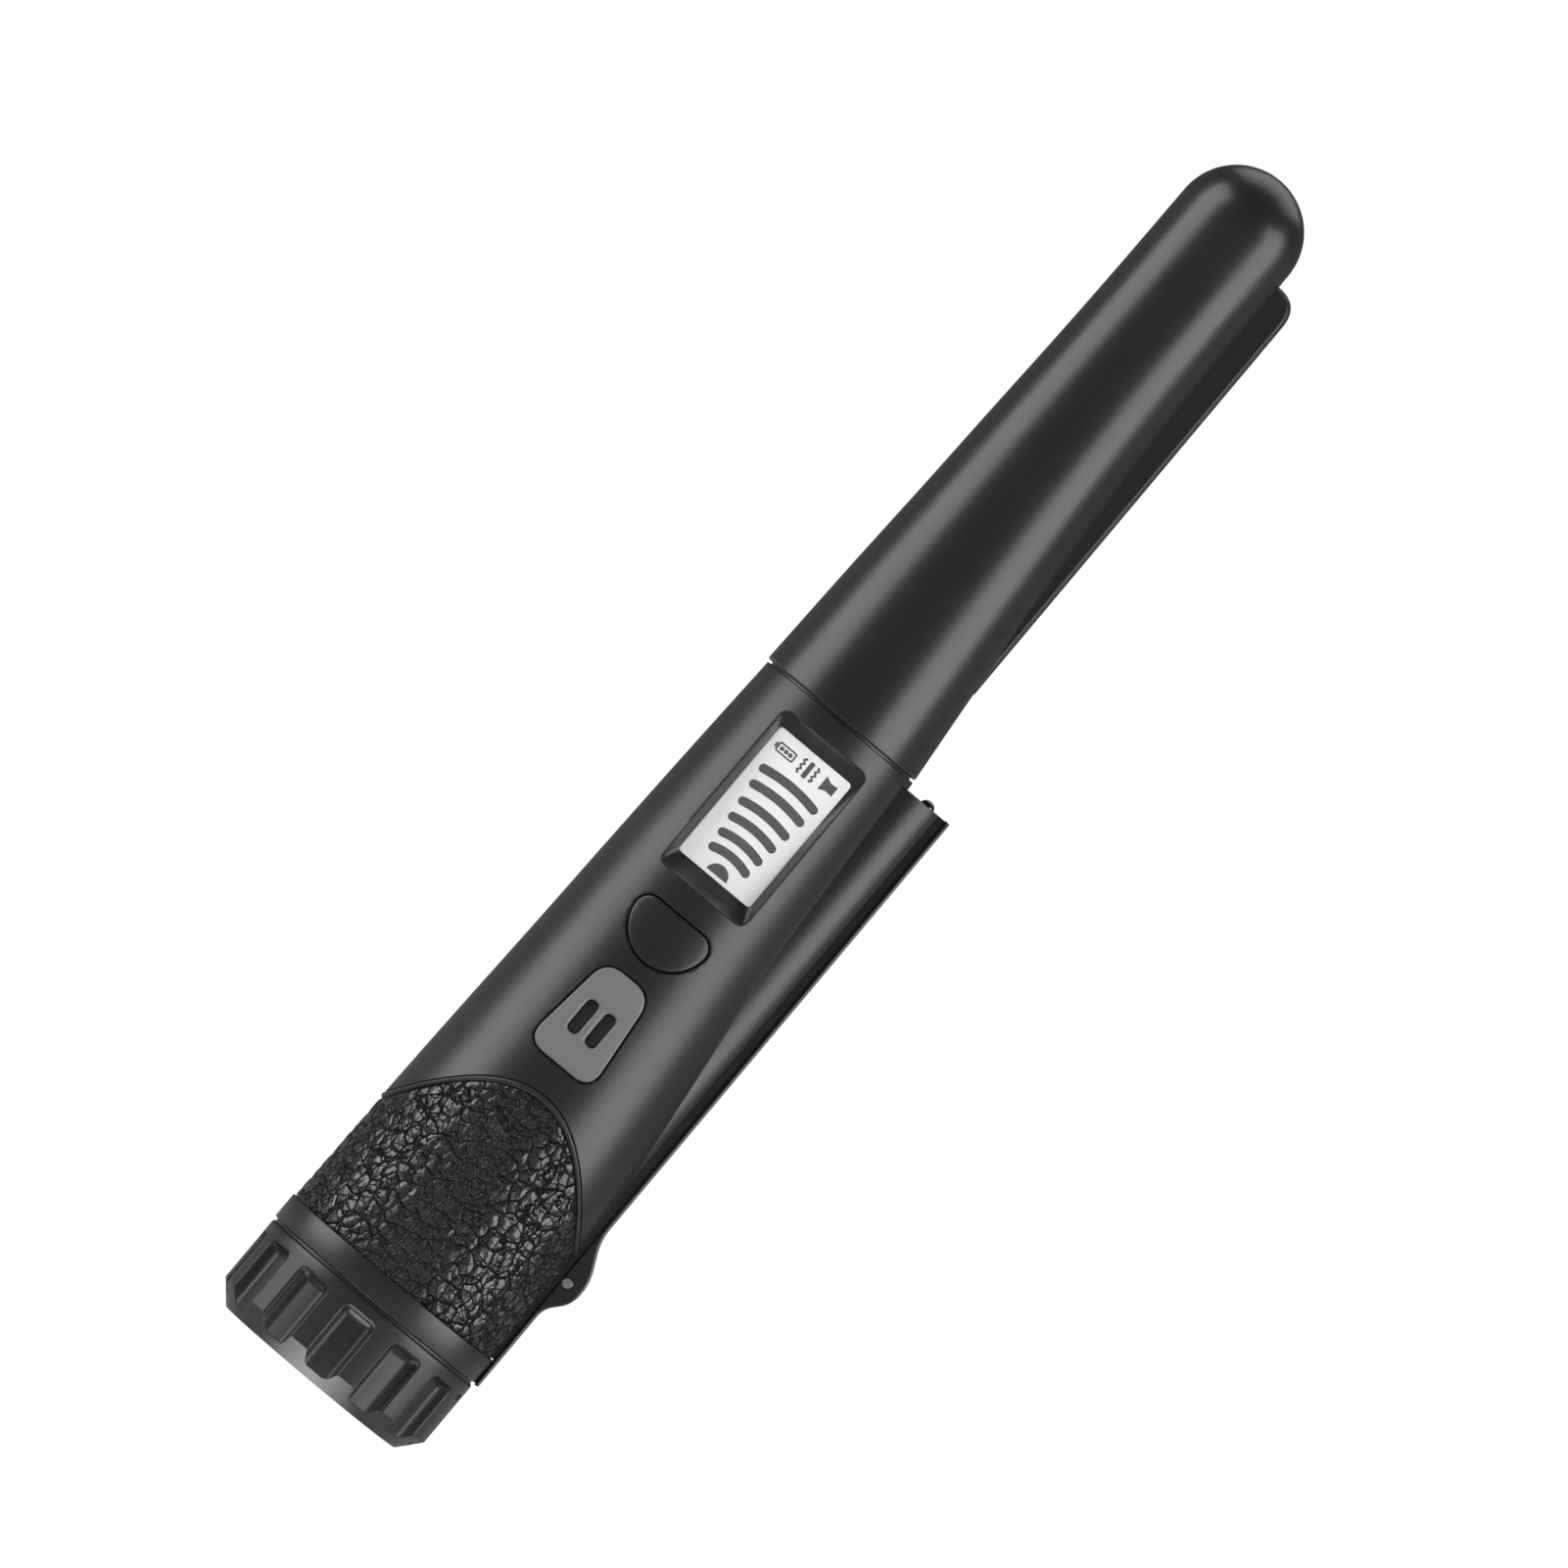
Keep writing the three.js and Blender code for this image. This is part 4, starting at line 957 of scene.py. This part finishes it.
def make_cap():
    radius = high("battery_cap").x
    pitch = 2 * math.pi * radius / FLUTES
    floor_half, wall_half = FLUTE_FLOOR / 2, FLUTE_FLOOR / 2 + 2.0
    walls = np.linspace(floor_half, wall_half, 21)
    places = [*-walls[::-1], *np.linspace(-floor_half, floor_half, 5)[1:-1], *walls]
    places += list(np.linspace(wall_half, pitch - wall_half, 4)[1:-1])
    columns = [((i * pitch + place) / radius, place if place <= wall_half else 99) for i in range(FLUTES) for place in places]
    rings = [[(0.001 * math.sin(a), -0.001 * math.cos(a), 0.0) for a, _ in columns]]
    for r, z in cap_profile():
        ring = []
        for angle, across in columns:
            reach = min(r, radius - flute_depth(across, z))
            ring.append((reach * math.sin(angle), -reach * math.cos(angle), z))
        rings.append(ring)
    bore, top, floor = 17.9, high("battery_cap").z, 3.0
    collar = (20.15, low("end_ring").z - 0.12)
    for r, z in ((collar[0], top), collar, (bore + 0.3, collar[1]), (bore, top - 0.3), (bore, floor), (0.001, floor)):
        rings.append([(r * math.sin(a), -r * math.cos(a), z) for a, _ in columns])
    finish(piece("cap", rings, sharp=38), "black_plastic", "battery_cap", "battery_cap")


# ---- What stays as the frame drew it ----

def dress_frame():
    """Gives every remaining frame node the material of its record slot."""
    slots = {row["node"]: row["material_slot"] for row in frame["record"]["subparts"]}
    for node, slot in slots.items():
        obj = bpy.data.objects.get(node)
        if obj is None:
            continue
        for index in range(len(obj.material_slots)):
            obj.material_slots[index].material = looks[slot]
        if not obj.material_slots:
            obj.data.materials.append(looks[slot])


# ---- Studio ----

def area_light(name, angle, elevation, distance, size, power, target):
    """A soft rectangular light aimed at target; angle 0 is the display side, + towards +X."""
    a, e = math.radians(angle), math.radians(elevation)
    way = Vector((math.sin(a) * math.cos(e), -math.cos(a) * math.cos(e), math.sin(e)))
    data = bpy.data.lights.new(name, "AREA")
    data.shape = "RECTANGLE"
    data.size, data.size_y = size
    data.energy = power
    lamp = bpy.data.objects.new(name, data)
    lamp.visible_camera = False
    lamp.location = target + way * distance
    lamp.rotation_mode = "QUATERNION"
    lamp.rotation_quaternion = way.to_track_quat("Z", "Y")
    bpy.context.collection.objects.link(lamp)
    return lamp


def make_studio():
    scene = bpy.context.scene
    scene.view_settings.view_transform = "Standard"
    world = bpy.data.worlds.new("studio")
    world.use_nodes = True
    tree = world.node_tree
    back = tree.nodes["Background"]
    dim = tree.nodes.new("ShaderNodeBackground")
    back.inputs["Color"].default_value = (1, 1, 1, 1)
    back.inputs["Strength"].default_value = 1.0
    dim.inputs["Color"].default_value = (1, 1, 1, 1)
    place = tree.nodes.new("ShaderNodeTexCoord")
    split = tree.nodes.new("ShaderNodeSeparateXYZ")
    link(tree, place.outputs["Generated"], split.inputs["Vector"])
    link(tree, remap(tree, split.outputs["Z"], 0.1, 0.7, 0.125, 0.03), dim.inputs["Strength"])
    rays = tree.nodes.new("ShaderNodeLightPath")
    mix = tree.nodes.new("ShaderNodeMixShader")
    tree.links.new(rays.outputs["Is Camera Ray"], mix.inputs["Fac"])
    tree.links.new(dim.outputs["Background"], mix.inputs[1])
    tree.links.new(back.outputs["Background"], mix.inputs[2])
    tree.links.new(mix.outputs["Shader"], tree.nodes["World Output"].inputs["Surface"])
    scene.world = world

    middle = (Vector(CAD_BOX[0]) + Vector(CAD_BOX[1])) / 2
    area_light("left_strip", -76, 4, 0.8, (0.6, 1.3), 9.6, middle)
    area_light("right_strip", 64.5, 4, 0.8, (0.62, 1.3), 10.8, middle)
    foot = Vector((middle.x, middle.y, 0.05))
    area_light("left_low", -76, 0, 0.4, (0.3, 0.09), 0.15, foot)
    area_light("right_low", 64.5, 0, 0.4, (0.31, 0.09), 0.15, foot)
    area_light("back_top", 180, 62, 1.1, (1.2, 0.8), 4.5, middle)

    bpy.ops.mesh.primitive_circle_add(vertices=96, radius=8, fill_type="NGON", location=(0, 0, CAD_BOX[0][2] - 0.0096))
    floor = bpy.context.object
    floor.name = "floor"
    look = bpy.data.materials.new("floor")
    look.use_nodes = True
    tree = look.node_tree
    glow = tree.nodes.new("ShaderNodeEmission")
    seen = tree.nodes.new("ShaderNodeLightPath")
    grain = texture(tree, "ShaderNodeTexNoise", 5, Detail=3.0)
    place = tree.nodes.new("ShaderNodeTexCoord")
    spot = tree.nodes.new("ShaderNodeMapping")
    spot.vector_type = "TEXTURE"
    spot.inputs["Location"].default_value = (-0.001, -0.022, 0)
    spot.inputs["Scale"].default_value = (0.016, 0.02, 1)
    fade = tree.nodes.new("ShaderNodeTexGradient")
    fade.gradient_type = "SPHERICAL"
    link(tree, place.outputs["Object"], spot.inputs["Vector"])
    link(tree, spot.outputs["Vector"], fade.inputs["Vector"])
    glare = tree.nodes.new("ShaderNodeMath")
    glare.operation = "MULTIPLY_ADD"
    glare.inputs[1].default_value = 7.5
    link(tree, fade.outputs["Fac"], glare.inputs[0])
    link(tree, remap(tree, grain.outputs["Fac"], 0.3, 0.7, 0.42, 0.48), glare.inputs[2])
    bounce = glare.outputs["Value"]
    level = tree.nodes.new("ShaderNodeMix")
    link(tree, seen.outputs["Is Camera Ray"], level.inputs["Factor"])
    link(tree, bounce, level.inputs["A"])
    level.inputs["B"].default_value = 1.0
    link(tree, level.outputs["Result"], glow.inputs["Strength"])
    link(tree, glow.outputs["Emission"], tree.nodes["Material Output"].inputs["Surface"])
    floor.data.materials.append(look)


def make_camera():
    """Level with the wand's middle, square to the display side, rolled so the nose points up right."""
    data = bpy.data.cameras.new("camera")
    data.lens, data.sensor_width = 600, 36
    camera = bpy.data.objects.new("camera", data)
    bpy.context.collection.objects.link(camera)
    roll = math.radians(40)
    target = Vector((-2.88, 0, 120.7)) * MM
    shown = 249.5 * MM
    distance = shown / 2 / (data.sensor_width / 2 / data.lens)
    right = Vector((math.cos(roll), 0, math.sin(roll)))
    up = Vector((-math.sin(roll), 0, math.cos(roll)))
    away = Vector((0, -1, 0))
    camera.location = target + away * distance
    turn = bpy_matrix(right, up, away)
    camera.rotation_mode = "QUATERNION"
    camera.rotation_quaternion = turn.to_quaternion()
    bpy.context.scene.camera = camera


def bpy_matrix(right, up, back):
    from mathutils import Matrix
    return Matrix((right, up, back)).transposed()


make_camera()
make_studio()
dress_frame()
make_probe()
make_blade()
make_handle()
make_grip()
make_ring()
make_spine()
make_torch()
make_display()
make_buttons()
make_cap()
